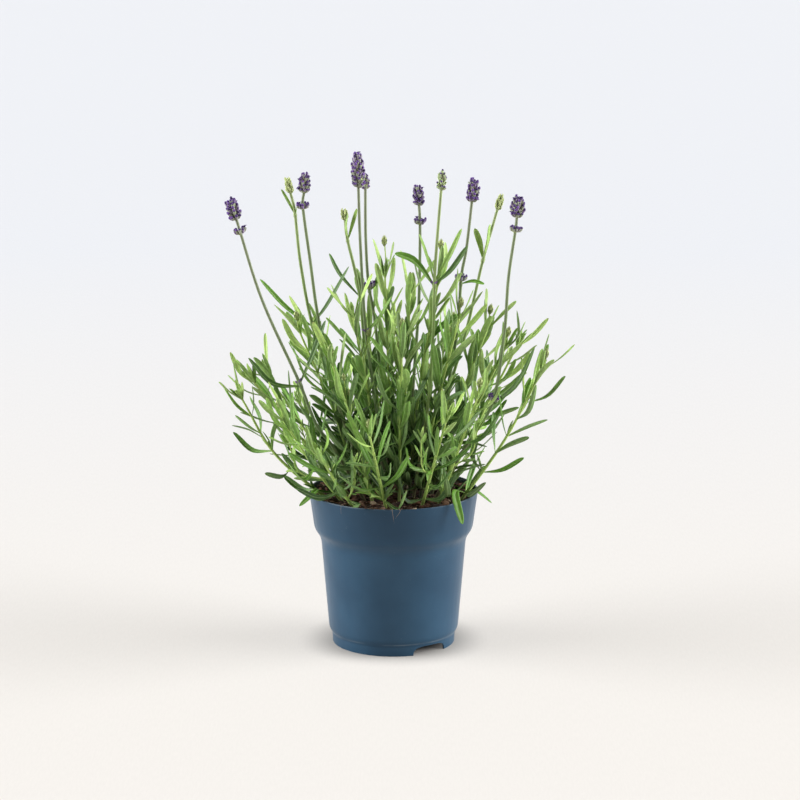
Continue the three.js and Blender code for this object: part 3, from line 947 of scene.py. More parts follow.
class Nodes:
    """A node tree, and the nodes that it is put together from."""

    def __init__(self, tree: bpy.types.NodeTree) -> None:
        """Takes up a node tree.

        Args:
            tree: The tree.
        """
        self.tree = tree

    def put(self, socket: Socket, value: object) -> None:
        """Fills a socket.

        Args:
            socket: The input.
            value: Another node's output, a number or a colour.
        """
        if isinstance(value, Socket):
            self.tree.links.new(value, socket)
        elif isinstance(value, tuple) and len(value) == 3 and socket.type == "RGBA":
            socket.default_value = (*value, 1.0)
        else:
            socket.default_value = value

    def shade(self, name: str) -> Socket:
        """Reads a shade of the surface.

        Args:
            name: The shade's name.

        Returns:
            Its value.
        """
        node = self.tree.nodes.new("ShaderNodeAttribute")
        node.attribute_name = name
        return node.outputs["Fac"]

    def place(self, output: str = "Object") -> bpy.types.bpy_prop_collection:
        """Reads where a point lies.

        Args:
            output: The kind of coordinates: metres on the object, or another.

        Returns:
            The sockets X, Y and Z.
        """
        place = self.tree.nodes.new("ShaderNodeTexCoord")
        parts = self.tree.nodes.new("ShaderNodeSeparateXYZ")
        self.tree.links.new(place.outputs[output], parts.inputs["Vector"])
        return parts.outputs

    def noise(self, scale: float, detail: float, stretch: Triple = (1.0, 1.0, 1.0)) -> Socket:
        """Makes noise that lies in the object.

        Args:
            scale: Its scale per metre.
            detail: How many finer layers it has.
            stretch: Its scale along each axis.

        Returns:
            The noise, around 0.5.
        """
        place = self.tree.nodes.new("ShaderNodeTexCoord")
        mapping = self.tree.nodes.new("ShaderNodeMapping")
        mapping.inputs["Scale"].default_value = stretch
        node = self.tree.nodes.new("ShaderNodeTexNoise")
        node.inputs["Scale"].default_value = scale
        node.inputs["Detail"].default_value = detail
        self.tree.links.new(place.outputs["Object"], mapping.inputs["Vector"])
        self.tree.links.new(mapping.outputs["Vector"], node.inputs["Vector"])
        return node.outputs["Fac"]

    def maths(self, operation: str, *values: object) -> Socket:
        """Calculates with values or sockets.

        Args:
            operation: The Math node's operation.
            *values: The numbers or sockets that it works on.

        Returns:
            The result.
        """
        node = self.tree.nodes.new("ShaderNodeMath")
        node.operation = operation
        for socket, value in zip(node.inputs, values):
            self.put(socket, value)
        return node.outputs[0]

    def span(self, value: object, low: float, high: float, first: float = 0.0,
             second: float = 1.0) -> Socket:
        """Moves a value from one range into another, clamped.

        Args:
            value: The value or socket.
            low: The start of its own range.
            high: The end of its own range.
            first: What it becomes at low.
            second: What it becomes at high.

        Returns:
            The moved value.
        """
        node = self.tree.nodes.new("ShaderNodeMapRange")
        for socket, given in zip(node.inputs, (value, low, high, first, second)):
            self.put(socket, given)
        return node.outputs[0]

    def mixed(self, factor: object, first: object, second: object,
              blend: str = "MIX") -> Socket:
        """Mixes two colours.

        Args:
            factor: The share of the second.
            first: The first colour or socket.
            second: The second colour or socket.
            blend: The way they mix.

        Returns:
            The mixed colour.
        """
        node = self.tree.nodes.new("ShaderNodeMix")
        node.data_type = "RGBA"
        node.blend_type = blend
        for index, value in ((0, factor), (6, first), (7, second)):
            self.put(node.inputs[index], value)
        return node.outputs[2]


class Bench(Nodes):
    """A material's node tree with its shader."""

    def __init__(self, name: str, roughness: float, **constants: float | Sequence[float]) -> None:
        """Starts a material.

        Args:
            name: The material's name.
            roughness: The shader's roughness.
            **constants: Other values for the shader's own sockets, with _ for each space.
        """
        self.material = bpy.data.materials.new(name)
        self.material.use_nodes = True
        super().__init__(self.material.node_tree)
        self.tree.nodes.clear()
        self.shader = self.tree.nodes.new("ShaderNodeBsdfPrincipled")
        output = self.tree.nodes.new("ShaderNodeOutputMaterial")
        self.tree.links.new(self.shader.outputs["BSDF"], output.inputs["Surface"])
        self.shader.inputs["Roughness"].default_value = roughness
        for socket, value in constants.items():
            self.shader.inputs[socket.replace("_", " ")].default_value = value

    def bump(self, height: object, distance: float, strength: float = 1.0) -> None:
        """Gives the shader a relief.

        Args:
            height: The relief's height, from 0 to 1.
            distance: Its depth, in metres.
            strength: How strongly it shows.
        """
        node = self.tree.nodes.new("ShaderNodeBump")
        node.inputs["Strength"].default_value = strength
        node.inputs["Distance"].default_value = distance
        self.put(node.inputs["Height"], height)
        self.tree.links.new(node.outputs["Normal"], self.shader.inputs["Normal"])

    def colour(self, base: object, *shares: object) -> None:
        """Gives the shader its base colour.

        Args:
            base: The colour or socket.
            *shares: Values that lighten or darken it, multiplied together.
        """
        if shares:
            shade = self.maths("MULTIPLY", *shares) if len(shares) > 1 else shares[0]
            base = self.mixed(1.0, base, shade, "MULTIPLY")
        self.put(self.shader.inputs["Base Color"], base)

    def gloss(self, value: object) -> None:
        """Gives the shader its roughness."""
        self.put(self.shader.inputs["Roughness"], value)


SAPPY = {"Subsurface_Radius": (0.5, 1.0, 0.2), "Subsurface_Scale": 0.0008}


@dataclass(frozen=True)
class PotPlastic:
    """Satin dusty blue moulded plastic, a little dusty, with painted shade on the downward-facing
    collar and a painted highlight along the foot step and rim edge.
    """

    blue: Colour = (0.0185, 0.055, 0.098)
    deep: Colour = (0.0130, 0.042, 0.078)
    # Painted shade: the collar faces a little downward, so it is painted a darker blue.
    collar: Colour = (0.0080, 0.027, 0.051)
    # Dusty grey, both for the real specks of grime and for the painted highlight along the foot
    # step and rim edge.
    dust_and_edge_highlight: Colour = (0.20, 0.24, 0.27)
    roughness: float = 0.36
    collar_shade_span: Pair = (0.078, 0.092)
    # Heights of the foot step and the rim edge, where a thin light band is painted as a
    # highlight.
    highlight_edges: Pair = (0.0086, 0.1108)
    highlight_width: float = 0.0007

    def material(self) -> Material:
        """Returns the material."""
        bench = Bench(
            "pot_plastic", self.roughness, Specular_IOR_Level=0.23, Sheen_Weight=0.14,
            Sheen_Roughness=0.3, Sheen_Tint=(0.80, 0.91, 1.0, 1.0),
        )
        cloud = bench.noise(28.0, 4.0)
        body = bench.mixed(bench.span(cloud, 0.35, 0.68), self.deep, self.blue)
        specks = bench.noise(900.0, 2.0)
        dusty = bench.span(specks, 0.66, 0.78, 0.0, 0.35)
        patches = bench.span(bench.noise(60.0, 5.0), 0.5, 0.75, 0.0, 1.0)
        dirt = bench.maths("MULTIPLY", dusty, patches)
        height = bench.place()["Z"]
        # Painted shade: above the step the collar is mixed towards its darker blue.
        upper = bench.span(height, *self.collar_shade_span, 0.0, 0.45)
        body = bench.mixed(upper, body, self.collar)
        # Painted highlight: a thin light band, broken by noise, along the foot step and the rim
        # edge.
        edge = bench.maths("MINIMUM", *(
            bench.maths("ABSOLUTE", bench.maths("SUBTRACT", height, edge_height))
            for edge_height in self.highlight_edges
        ))
        broken = bench.span(bench.noise(45.0, 4.0), 0.42, 0.62, 0.0, 0.42)
        painted_edge_highlight = bench.maths("MULTIPLY", bench.span(edge, 0.0, self.highlight_width, 1.0, 0.0), broken)
        bench.colour(bench.mixed(bench.maths("MAXIMUM", dirt, painted_edge_highlight), body, self.dust_and_edge_highlight))
        streaks = bench.noise(160.0, 3.0, (1.0, 1.0, 0.06))
        bench.gloss(bench.span(streaks, 0.3, 0.7, self.roughness - 0.06, self.roughness + 0.08))
        bench.bump(bench.noise(2600.0, 2.0), 0.00003, 0.5)
        return bench.material


@dataclass(frozen=True)
class PottingSoil:
    """Damp dark peat with red-brown fibre."""

    dark: Colour = (0.010, 0.006, 0.005)
    brown: Colour = (0.036, 0.020, 0.013)
    red: Colour = (0.085, 0.040, 0.022)

    def material(self) -> Material:
        """Returns the material."""
        bench = Bench("potting_soil", 0.9, Specular_IOR_Level=0.25)
        crumbs = bench.noise(420.0, 6.0)
        base = bench.mixed(bench.span(crumbs, 0.38, 0.62), self.dark, self.brown)
        fibre = bench.span(bench.noise(900.0, 5.0), 0.56, 0.7)
        bench.colour(bench.mixed(fibre, base, self.red))
        bench.gloss(bench.span(crumbs, 0.3, 0.7, 0.98, 0.72))
        bench.bump(bench.noise(1500.0, 8.0), 0.0006, 0.9)
        return bench.material


@dataclass(frozen=True)
class BarkAndFibre:
    """Bark chips, coir and rootlets, from dark red-brown to straw by their tone."""

    dark: Colour = (0.022, 0.011, 0.008)
    red: Colour = (0.115, 0.052, 0.029)
    straw: Colour = (0.44, 0.34, 0.23)

    def material(self) -> Material:
        """Returns the material."""
        bench = Bench("bark_and_fibre", 0.85, Specular_IOR_Level=0.3)
        tone = bench.shade("tone")
        base = bench.mixed(bench.span(tone, 0.0, 0.6), self.dark, self.red)
        base = bench.mixed(bench.span(tone, 0.72, 1.0), base, self.straw)
        grain = bench.noise(1800.0, 4.0)
        bench.colour(base, bench.span(grain, 0.3, 0.7, 0.6, 1.35))
        bench.bump(grain, 0.00025, 0.8)
        return bench.material


@dataclass(frozen=True)
class LeafFinish:
    """Soft felted leaf: young yellow green, fresh green or old blue green, paler below."""

    young: Colour = (0.345, 0.475, 0.130)
    fresh: Colour = (0.124, 0.280, 0.030)
    old: Colour = (0.014, 0.047, 0.005)
    below: Colour = (0.205, 0.320, 0.110)
    rib: Colour = (0.32, 0.45, 0.17)
    glaucous: Colour = (0.135, 0.215, 0.115)
    withered: Colour = (0.30, 0.22, 0.10)

    def material(self) -> Material:
        """Returns the material."""
        bench = Bench("leaf", 0.55, Specular_IOR_Level=0.26, Subsurface_Weight=0.06,
                      **SAPPY)
        age, tone, along = bench.shade("age"), bench.shade("tone"), bench.shade("along")
        under = bench.shade("under")
        aside = bench.maths("ABSOLUTE", bench.shade("across"))
        base = bench.mixed(bench.span(age, 0.0, 0.45), self.young, self.fresh)
        base = bench.mixed(bench.span(age, 0.45, 1.0), base, self.old)
        waxy = bench.maths("MULTIPLY", bench.span(tone, 0.36, 0.0, 0.0, 0.6),
                           bench.span(age, 0.5, 1.0, 1.0, 0.4))
        base = bench.mixed(waxy, base, self.glaucous)
        base = bench.mixed(bench.span(along, 0.0, 0.35, 0.32, 0.0), base, self.young)
        base = bench.mixed(bench.maths("MULTIPLY", under, 0.42), base, self.below)
        vein = bench.span(aside, 0.04, 0.2, 0.5, 0.0)
        base = bench.mixed(vein, base, self.rib)
        margin = bench.span(aside, 0.88, 1.0, 0.0, 0.22)
        base = bench.mixed(margin, base, self.rib)
        tip = bench.span(along, 0.955, 1.0, 0.0, 1.0)
        spent = bench.maths("MULTIPLY", tip, bench.span(tone, 0.8, 0.95, 0.0, 0.8))
        base = bench.mixed(spent, base, self.withered)
        mottle = bench.noise(420.0, 4.0)
        bench.colour(base, bench.span(mottle, 0.3, 0.7, 0.8, 1.18),
                     bench.span(tone, 0, 1, 0.74, 1.13))
        bench.gloss(bench.span(mottle, 0.3, 0.7, 0.42, 0.58))
        bench.bump(bench.noise(5200.0, 3.0), 0.00008, 0.55)
        return bench.material


@dataclass(frozen=True)
class StemFinish:
    """Ridged green stem that turns woody and brown at its foot, with painted shade mid-face and
    painted light on its corners, and near-black painted shade low on shoots inside the crown.
    """

    name: str
    green: Colour
    upper: Colour
    wood: Colour = (0.105, 0.078, 0.04)
    # Near-black painted shade for the dark hollow low inside the crown, laid over the woody foot.
    bark: Colour = (0.022, 0.022, 0.011)

    def material(self) -> Material:
        """Returns the material."""
        bench = Bench(self.name, 0.6, Specular_IOR_Level=0.35, Sheen_Weight=0.03,
                      Sheen_Roughness=0.5, Subsurface_Weight=0.08, **SAPPY)
        along = bench.shade("along")
        base = bench.mixed(bench.span(along, 0.3, 1.0), self.green, self.upper)
        base = bench.mixed(bench.span(along, 0.04, 0.26, 0.85, 0.0), base, self.wood)
        # Painted shade: low on shoots inside the crown, whose age shade is 1, the stem darkens to
        # near black.
        foot_shade_reach = bench.span(along, 0.1, 0.42, 0.85, 0.0)
        painted_foot_shade = bench.maths("MULTIPLY", foot_shade_reach, bench.shade("age"))
        base = bench.mixed(painted_foot_shade, base, self.bark)
        lines = bench.noise(1300.0, 3.0, (1.0, 1.0, 0.05))
        # Painted shade and highlight: each face is darkened mid-face, like a shaded groove, and
        # lightened at its corners.
        painted_groove_shade = bench.span(bench.shade("across"), 0.0, 0.9, 0.78, 1.14)
        bench.colour(base, bench.span(lines, 0.3, 0.7, 0.78, 1.2), painted_groove_shade)
        bench.bump(lines, 0.00016, 0.7)
        return bench.material


@dataclass(frozen=True)
class CalyxFinish:
    """Woolly calyx: olive at the foot and dusky violet or green at the mouth, by its age."""

    olive: Colour = (0.32, 0.32, 0.20)
    dusky: Colour = (0.172, 0.104, 0.245)
    green: Colour = (0.33, 0.43, 0.17)

    def material(self) -> Material:
        """Returns the material."""
        bench = Bench(
            "calyx", 0.8, Specular_IOR_Level=0.25, Sheen_Weight=0.35, Sheen_Roughness=0.4,
            Sheen_Tint=(0.85, 0.85, 0.8, 1.0),
        )
        along, tone, age = bench.shade("along"), bench.shade("tone"), bench.shade("age")
        mouth = bench.mixed(age, self.green, self.dusky)
        reach = bench.maths("ADD", along, bench.span(tone, 0, 1, -0.3, 0.3))
        base = bench.mixed(bench.span(reach, 0.06, 0.5), self.olive, mouth)
        wool = bench.noise(4200.0, 4.0)
        bench.colour(base, bench.span(wool, 0.3, 0.7, 0.7, 1.3),
                     bench.span(tone, 0, 1, 0.75, 1.25))
        bench.bump(wool, 0.00015, 0.8)
        return bench.material


@dataclass(frozen=True)
class CorollaFinish:
    """Velvety dark violet petals, lighter towards their rims."""

    deep: Colour = (0.024, 0.009, 0.062)
    violet: Colour = (0.140, 0.056, 0.280)

    def material(self) -> Material:
        """Returns the material."""
        bench = Bench(
            "corolla", 0.6, Specular_IOR_Level=0.3, Sheen_Weight=0.3, Sheen_Roughness=0.35,
            Sheen_Tint=(0.65, 0.55, 0.95, 1.0),
        )
        tone = bench.shade("tone")
        rim = bench.span(bench.shade("along"), 0.5, 1.1)
        base = bench.mixed(bench.maths("MULTIPLY", rim, tone), self.deep, self.violet)
        velvet = bench.noise(3200.0, 3.0)
        bench.colour(base, bench.span(velvet, 0.3, 0.7, 0.75, 1.3))
        bench.bump(velvet, 0.00008, 0.6)
        return bench.material


@dataclass(frozen=True)
class BudFinish:
    """Pale yellow-green bracts and closed buds, with darker or violet tips by their age."""

    pale: Colour = (0.40, 0.45, 0.20)
    olive: Colour = (0.22, 0.29, 0.085)
    violet: Colour = (0.13, 0.09, 0.18)

    def material(self) -> Material:
        """Returns the material."""
        bench = Bench(
            "bud", 0.75, Specular_IOR_Level=0.25, Sheen_Weight=0.3, Sheen_Roughness=0.4,
            Sheen_Tint=(0.95, 0.98, 0.8, 1.0),
        )
        along, tone, age = bench.shade("along"), bench.shade("tone"), bench.shade("age")
        base = bench.mixed(bench.span(along, 0.15, 0.9), self.olive, self.pale)
        tips = bench.maths("MULTIPLY", bench.span(along, 0.6, 1.0), age)
        base = bench.mixed(tips, base, self.violet)
        wool = bench.noise(4200.0, 4.0)
        bench.colour(base, bench.span(wool, 0.3, 0.7, 0.78, 1.22),
                     bench.span(tone, 0, 1, 0.8, 1.2))
        bench.bump(wool, 0.00012, 0.7)
        return bench.material


class Palette:
    """The plant's finishes, each made once."""

    def __init__(self) -> None:
        """Makes the materials."""
        self.leaf = LeafFinish().material()
        self.shoot = StemFinish("shoot_stem", (0.25, 0.375, 0.08), (0.34, 0.455, 0.12)).material()
        ripe = StemFinish("ripe_stalk", (0.125, 0.185, 0.068), (0.165, 0.188, 0.112))
        young = StemFinish("young_stalk", (0.16, 0.25, 0.065), (0.235, 0.29, 0.125))
        self.stalk, self.young_stalk = ripe.material(), young.material()
        self.calyx = CalyxFinish().material()
        self.corolla = CorollaFinish().material()
        self.bud = BudFinish().material()


# ---- Pot ----


@dataclass
class Pot:
    """The moulded pot: collar, step, tapered body, foot ring, drain holes and notches."""

    rim_radius: float = 60
    height: float = 111
    collar: Pair = (56.3, 84)
    body_top: Pair = (51.6, 77)
    body_bottom: Pair = (46.1, 11)
    foot_top: Pair = (43.9, 7)
    foot_radius: float = 43.5
    wall: float = 1.3
    segments: int = 144
    drain_holes: int = 6
    drain_radius: float = 4
    drain_circle: float = 28
    drain_span: Pair = (4, 12)
    cutter_segments: int = 32
    notch_azimuths: Pair = (-53, 127)
    notch_size: Triple = (12, 27, 12.4)
    notch_power: float = 3.4
    softening: float = 0.25

    def profile(self) -> list[Triple]:
        """Lists the section's corners, from floor to floor.

        Returns:
            The radius, the height and the rounding of each.
        """
        wall, (foot, floor) = self.wall, self.foot_top
        (collar, step), (body, waist) = self.collar, self.body_top
        return [
            (foot - wall, floor, 0.8),
            (self.foot_radius - wall, 0, 0.35),
            (self.foot_radius, 0, 0.35),
            (foot - 0.1, floor - 0.4, 0.25),
            (foot + 0.25, floor + 0.5, 0.3),
            (*self.body_bottom, 2.2),
            (body, waist, 4.0),
            (collar, step, 2.6),
            (self.rim_radius, self.height, 0.5),
            (self.rim_radius - wall, self.height, 0.5),
            (collar - wall, step + wall, 2.2),
            (body - wall, waist + wall, 2.2),
            (self.body_bottom[0] - wall, floor + wall + 3, 2.0),
            (foot - 2 * wall, floor + wall, 1.2),
        ]

    @staticmethod
    def rounded(corners: Sequence[Triple], steps: int = 4) -> Array:
        """Rounds each corner of an open line.

        Args:
            corners: Radius, height and rounding of each corner.
            steps: How many lengths each rounding has.

        Returns:
            The rounded line's points.
        """
        line = np.array([corner[:2] for corner in corners], float)
        points = [line[0]]
        for i in range(1, len(line) - 1):
            size = corners[i][2]
            before, here, after = line[i - 1 : i + 2]
            start = here + unit(before - here) * min(size, np.linalg.norm(before - here) / 2.2)
            end = here + unit(after - here) * min(size, np.linalg.norm(after - here) / 2.2)
            for w in np.linspace(0, 1, steps + 1):
                points.append((1 - w) ** 2 * start + 2 * w * (1 - w) * here + w**2 * end)
        points.append(line[-1])
        return np.array(points)

    def shell(self) -> Surface:
        """Returns the turned shell before its openings are cut."""
        floor = self.foot_top[1]
        line = self.rounded([(8, floor, 0), *self.profile(), (8, floor + self.wall, 0)])
        outline = [(0, floor), *map(tuple, line), (0, floor + self.wall)]
        surface = Surface("pot")
        surface.add(turned(outline, self.segments))
        return surface

    def cutters(self) -> Surface:
        """Makes the solids of the drain holes and foot notches.

        Returns:
            Their surface, which is cut out of the shell.
        """
        surface = Surface("pot_cutters")
        for i in range(self.drain_holes):
            place = level(i / self.drain_holes * math.tau) * self.drain_circle
            r, (low, high) = self.drain_radius, self.drain_span
            hole = turned([(0, low), (r, low), (r, high), (0, high)], self.cutter_segments)
            surface.add(hole.stood(place, UP, 0, (1, 1, 1)))
        depth, width, height = self.notch_size
        for degrees in self.notch_azimuths:
            out = level(math.radians(degrees))
            start = out * (self.foot_radius - depth * 0.75)
            tip = out * (self.foot_radius + depth * 0.25)
            angles = np.arange(self.cutter_segments) / self.cutter_segments * math.tau
            cosine, sine = np.cos(angles), np.sin(angles)
            squared = squareness(cosine, sine, self.notch_power)
            side = np.array([-out[1], out[0], 0])
            ring = (side * (cosine * squared * width / 2)[:, None]
                    + UP * (sine * squared * height / 2)[:, None])
            rings = np.stack([ring + start, ring + tip])
            surface.add(tube(rings, start, tip))
        return surface

    def build(self) -> list[Piece]:
        """Builds the pot's mesh with its openings cut.

        Returns:
            The pot, as the only piece.
        """
        pot = self.shell().piece([PotPlastic().material()])
        cutter = self.cutters().piece([])
        cut = pot.modifiers.new("openings", "BOOLEAN")
        cut.operation = "DIFFERENCE"
        cut.solver = "EXACT"
        cut.object = cutter
        bevel = pot.modifiers.new("softened_edges", "BEVEL")
        bevel.width = self.softening * METRES
        bevel.segments = 2
        bevel.limit_method = "ANGLE"
        bevel.angle_limit = math.radians(50)
        bpy.context.view_layer.update()
        graph = bpy.context.evaluated_depsgraph_get()
        mesh = bpy.data.meshes.new_from_object(pot.evaluated_get(graph))
        pot.modifiers.clear()
        pot.data = mesh
        bpy.data.objects.remove(cutter)
        mesh.set_sharp_from_angle(angle=math.radians(40))
        return [pot]

    def dress(self, pieces: list[Piece]) -> None:
        """Makes the pot stand for its CAD node.

        Args:
            pieces: The pot, as the only piece.
        """
        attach(pieces[0], ROOT_BODY)
        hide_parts("pot")


# ---- Soil ----


@dataclass
class Soil:
    """The root ball with its crumbly top, and the bark, fibre and specks that lie on it."""

    top: float = 103
    mound: float = 2.6
    edge_radius: float = 57.1
    rings: int = 54
    around: int = 150
    chips: int = 900
    fibres: int = 340
    specks: int = 130
    rootlets: tuple[Pair, ...] = ((-90, 9), (-87, 6), (-127, 6), (75, 7))
    seed: int = 90210

    def height(self, x: float, y: float) -> float:
        """Finds the height of the soil's surface.

        Args:
            x: The place's distance to the right of the pot's axis.
            y: Its distance behind the axis.

        Returns:
            The height there, with the crumbs.
        """
        share = min(math.hypot(x, y) / self.edge_radius, 1.0)
        lumps = noise.fractal(Vector((0.09 * x, 0.09 * y, 3.1)), 0.9, 2.1, 5)
        edge = 5.2 * share**4
        return self.top + 0.8 + self.mound * (1 - share**2) + edge + 1.5 * lumps

    def ball(self) -> Surface:
        """Returns the closed root ball with its displaced top."""
        surface = Surface("potting_soil")
        side = [(41.0, 8.7), (44.2, 12.7), (49.8, 78.3), (54.6, 86.3), (57.0, 101.0)]
        angle = np.arange(self.around) / self.around * math.tau
        rings = [
            np.stack([r * np.cos(angle), r * np.sin(angle), np.full(self.around, z)], -1)
            for r, z in side
        ]
        for radius in np.linspace(self.edge_radius, 0.8, self.rings):
            x, y = radius * np.cos(angle), radius * np.sin(angle)
            z = [self.height(a, b) for a, b in zip(x, y)]
            rings.append(np.stack([x, y, z], -1))
        foot = np.array([0, 0, side[0][1]])
        tip = np.array([0, 0, self.height(0, 0)])
        surface.add(tube(np.stack(rings), foot, tip))
        return surface

    def litter(self) -> Surface:
        """Returns bark chips, fibres and specks lying on the soil."""
        dice = GrowthDice(self.seed)
        surface = Surface("bark_and_fibre")
        for _ in range(self.chips):
            size = 0.9 + 3.6 * dice.roll() ** 2
            tone = dice.roll() ** 1.9 * (0.8 if dice.roll() < 0.88 else 1.0)
            surface.add(self.chip(dice, size), tone=tone)
        for _ in range(self.specks):
            surface.add(self.chip(dice, dice.between(0.5, 1.1)), tone=dice.between(0.9, 1.0))
        for _ in range(self.fibres):
            course = self.fibre_course(dice)
            thickness = dice.between(0.1, 0.28)
            shape = stem_shape(course, lambda t, r=thickness: r * (1.05 - 0.7 * t), 8, 5, 2)
            surface.add(shape, tone=dice.between(0.3, 1.0))
        for azimuth, length in self.rootlets:
            surface.add(self.rootlet(dice, azimuth, length), tone=dice.between(0.85, 0.95))
        return surface

    def place(self, dice: GrowthDice, reach: float = 1.0) -> Array:
        """Picks a place on the soil, evenly spread.

        Args:
            dice: The litter's random numbers.
            reach: How far out it may be, as a share of the soil's radius.

        Returns:
            The place.
        """
        radius = math.sqrt(dice.roll()) * self.edge_radius * reach
        azimuth = dice.turn()
        x, y = radius * math.cos(azimuth), radius * math.sin(azimuth)
        return np.array([x, y, self.height(x, y)])

    def chip(self, dice: GrowthDice, size: float) -> Shape:
        """Makes an angular flake of bark that lies on the soil.

        Args:
            dice: The litter's random numbers.
            size: The flake's scale.

        Returns:
            The closed flake.
        """
        lengths = (size * dice.between(0.8, 1.9), size * dice.between(0.5, 0.9),
                   size * dice.between(0.2, 0.5))
        around = 6
        angle = np.arange(around) / around * math.tau
        rings = []
        for layer in (-0.5, 0.0, 0.5):
            radius = np.array([dice.between(0.6, 1.1) for _ in range(around)])
            radius *= 1.0 if layer == 0 else 0.7
            ring = [radius * np.cos(angle), radius * np.sin(angle), np.full(around, layer)]
            rings.append(np.stack(ring, -1))
        flake = tube(np.stack(rings), np.array([0, 0, -0.6]), np.array([0, 0, 0.6]))
        tilt = unit(np.array([dice.jitter(0.5), dice.jitter(0.5), 1.0]))
        place = self.place(dice, 0.955)
        place[2] += dice.between(0.0, 0.45) * size
        return flake.stood(place, tilt, dice.roll() * FULL_SPIN, lengths)

    def fibre_course(self, dice: GrowthDice) -> GrowthCurve:
        """Lays out a fibre over the crumbs.

        Args:
            dice: The litter's random numbers.

        Returns:
            The fibre's course.
        """
        start = self.place(dice, 0.93)
        azimuth = dice.turn()
        length = dice.between(3, 13)
        points = []
        for share in (0, 0.35, 0.7, 1):
            bend = azimuth + dice.jitter(0.5)
            x = start[0] + math.cos(bend) * length * share
            y = start[1] + math.sin(bend) * length * share
            limit = 0.97 * self.edge_radius / max(math.hypot(x, y), 1e-6)
            x, y = x * min(1, limit), y * min(1, limit)
            points.append((x, y, self.height(x, y) + dice.between(0.1, 1.3)))
        return GrowthCurve(points)

    def rootlet(self, dice: GrowthDice, azimuth: float, length: float) -> Shape:
        """Makes a rootlet that hangs over the pot's rim.

        Args:
            dice: The litter's random numbers.
            azimuth: Where it crosses the rim, in degrees.
            length: How far down it hangs.

        Returns:
            The closed rootlet.
        """
        out = level(math.radians(azimuth))
        side = np.array([-out[1], out[0], 0])
        course = GrowthCurve([
            out * 54 + UP * 107.5,
            out * 59.4 + side * dice.jitter(1) + UP * 111.6,
            out * 61.0 + side * dice.jitter(2) + UP * 110.4,
            out * 60.3 + side * dice.jitter(3) + UP * (111 - length),
        ])
        return stem_shape(course, lambda t: 0.2 * (1.15 - t), 12, 5, 2)

    def build(self) -> list[Piece]:
        """Returns the root ball and its litter."""
        ball = self.ball().piece([PottingSoil().material()])
        return [ball, self.litter().piece([BarkAndFibre().material()])]

    def dress(self, pieces: list[Piece]) -> None:
        """Makes the root ball stand for its CAD node.

        Args:
            pieces: The root ball and its litter.
        """
        for piece in pieces:
            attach(piece, ROOT_BODY)
        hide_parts("potting_soil")


# ---- Flowers ----

CALYX, COROLLA, BUD, CORE = range(4)
STEM, LEAF, SCALES = range(3)


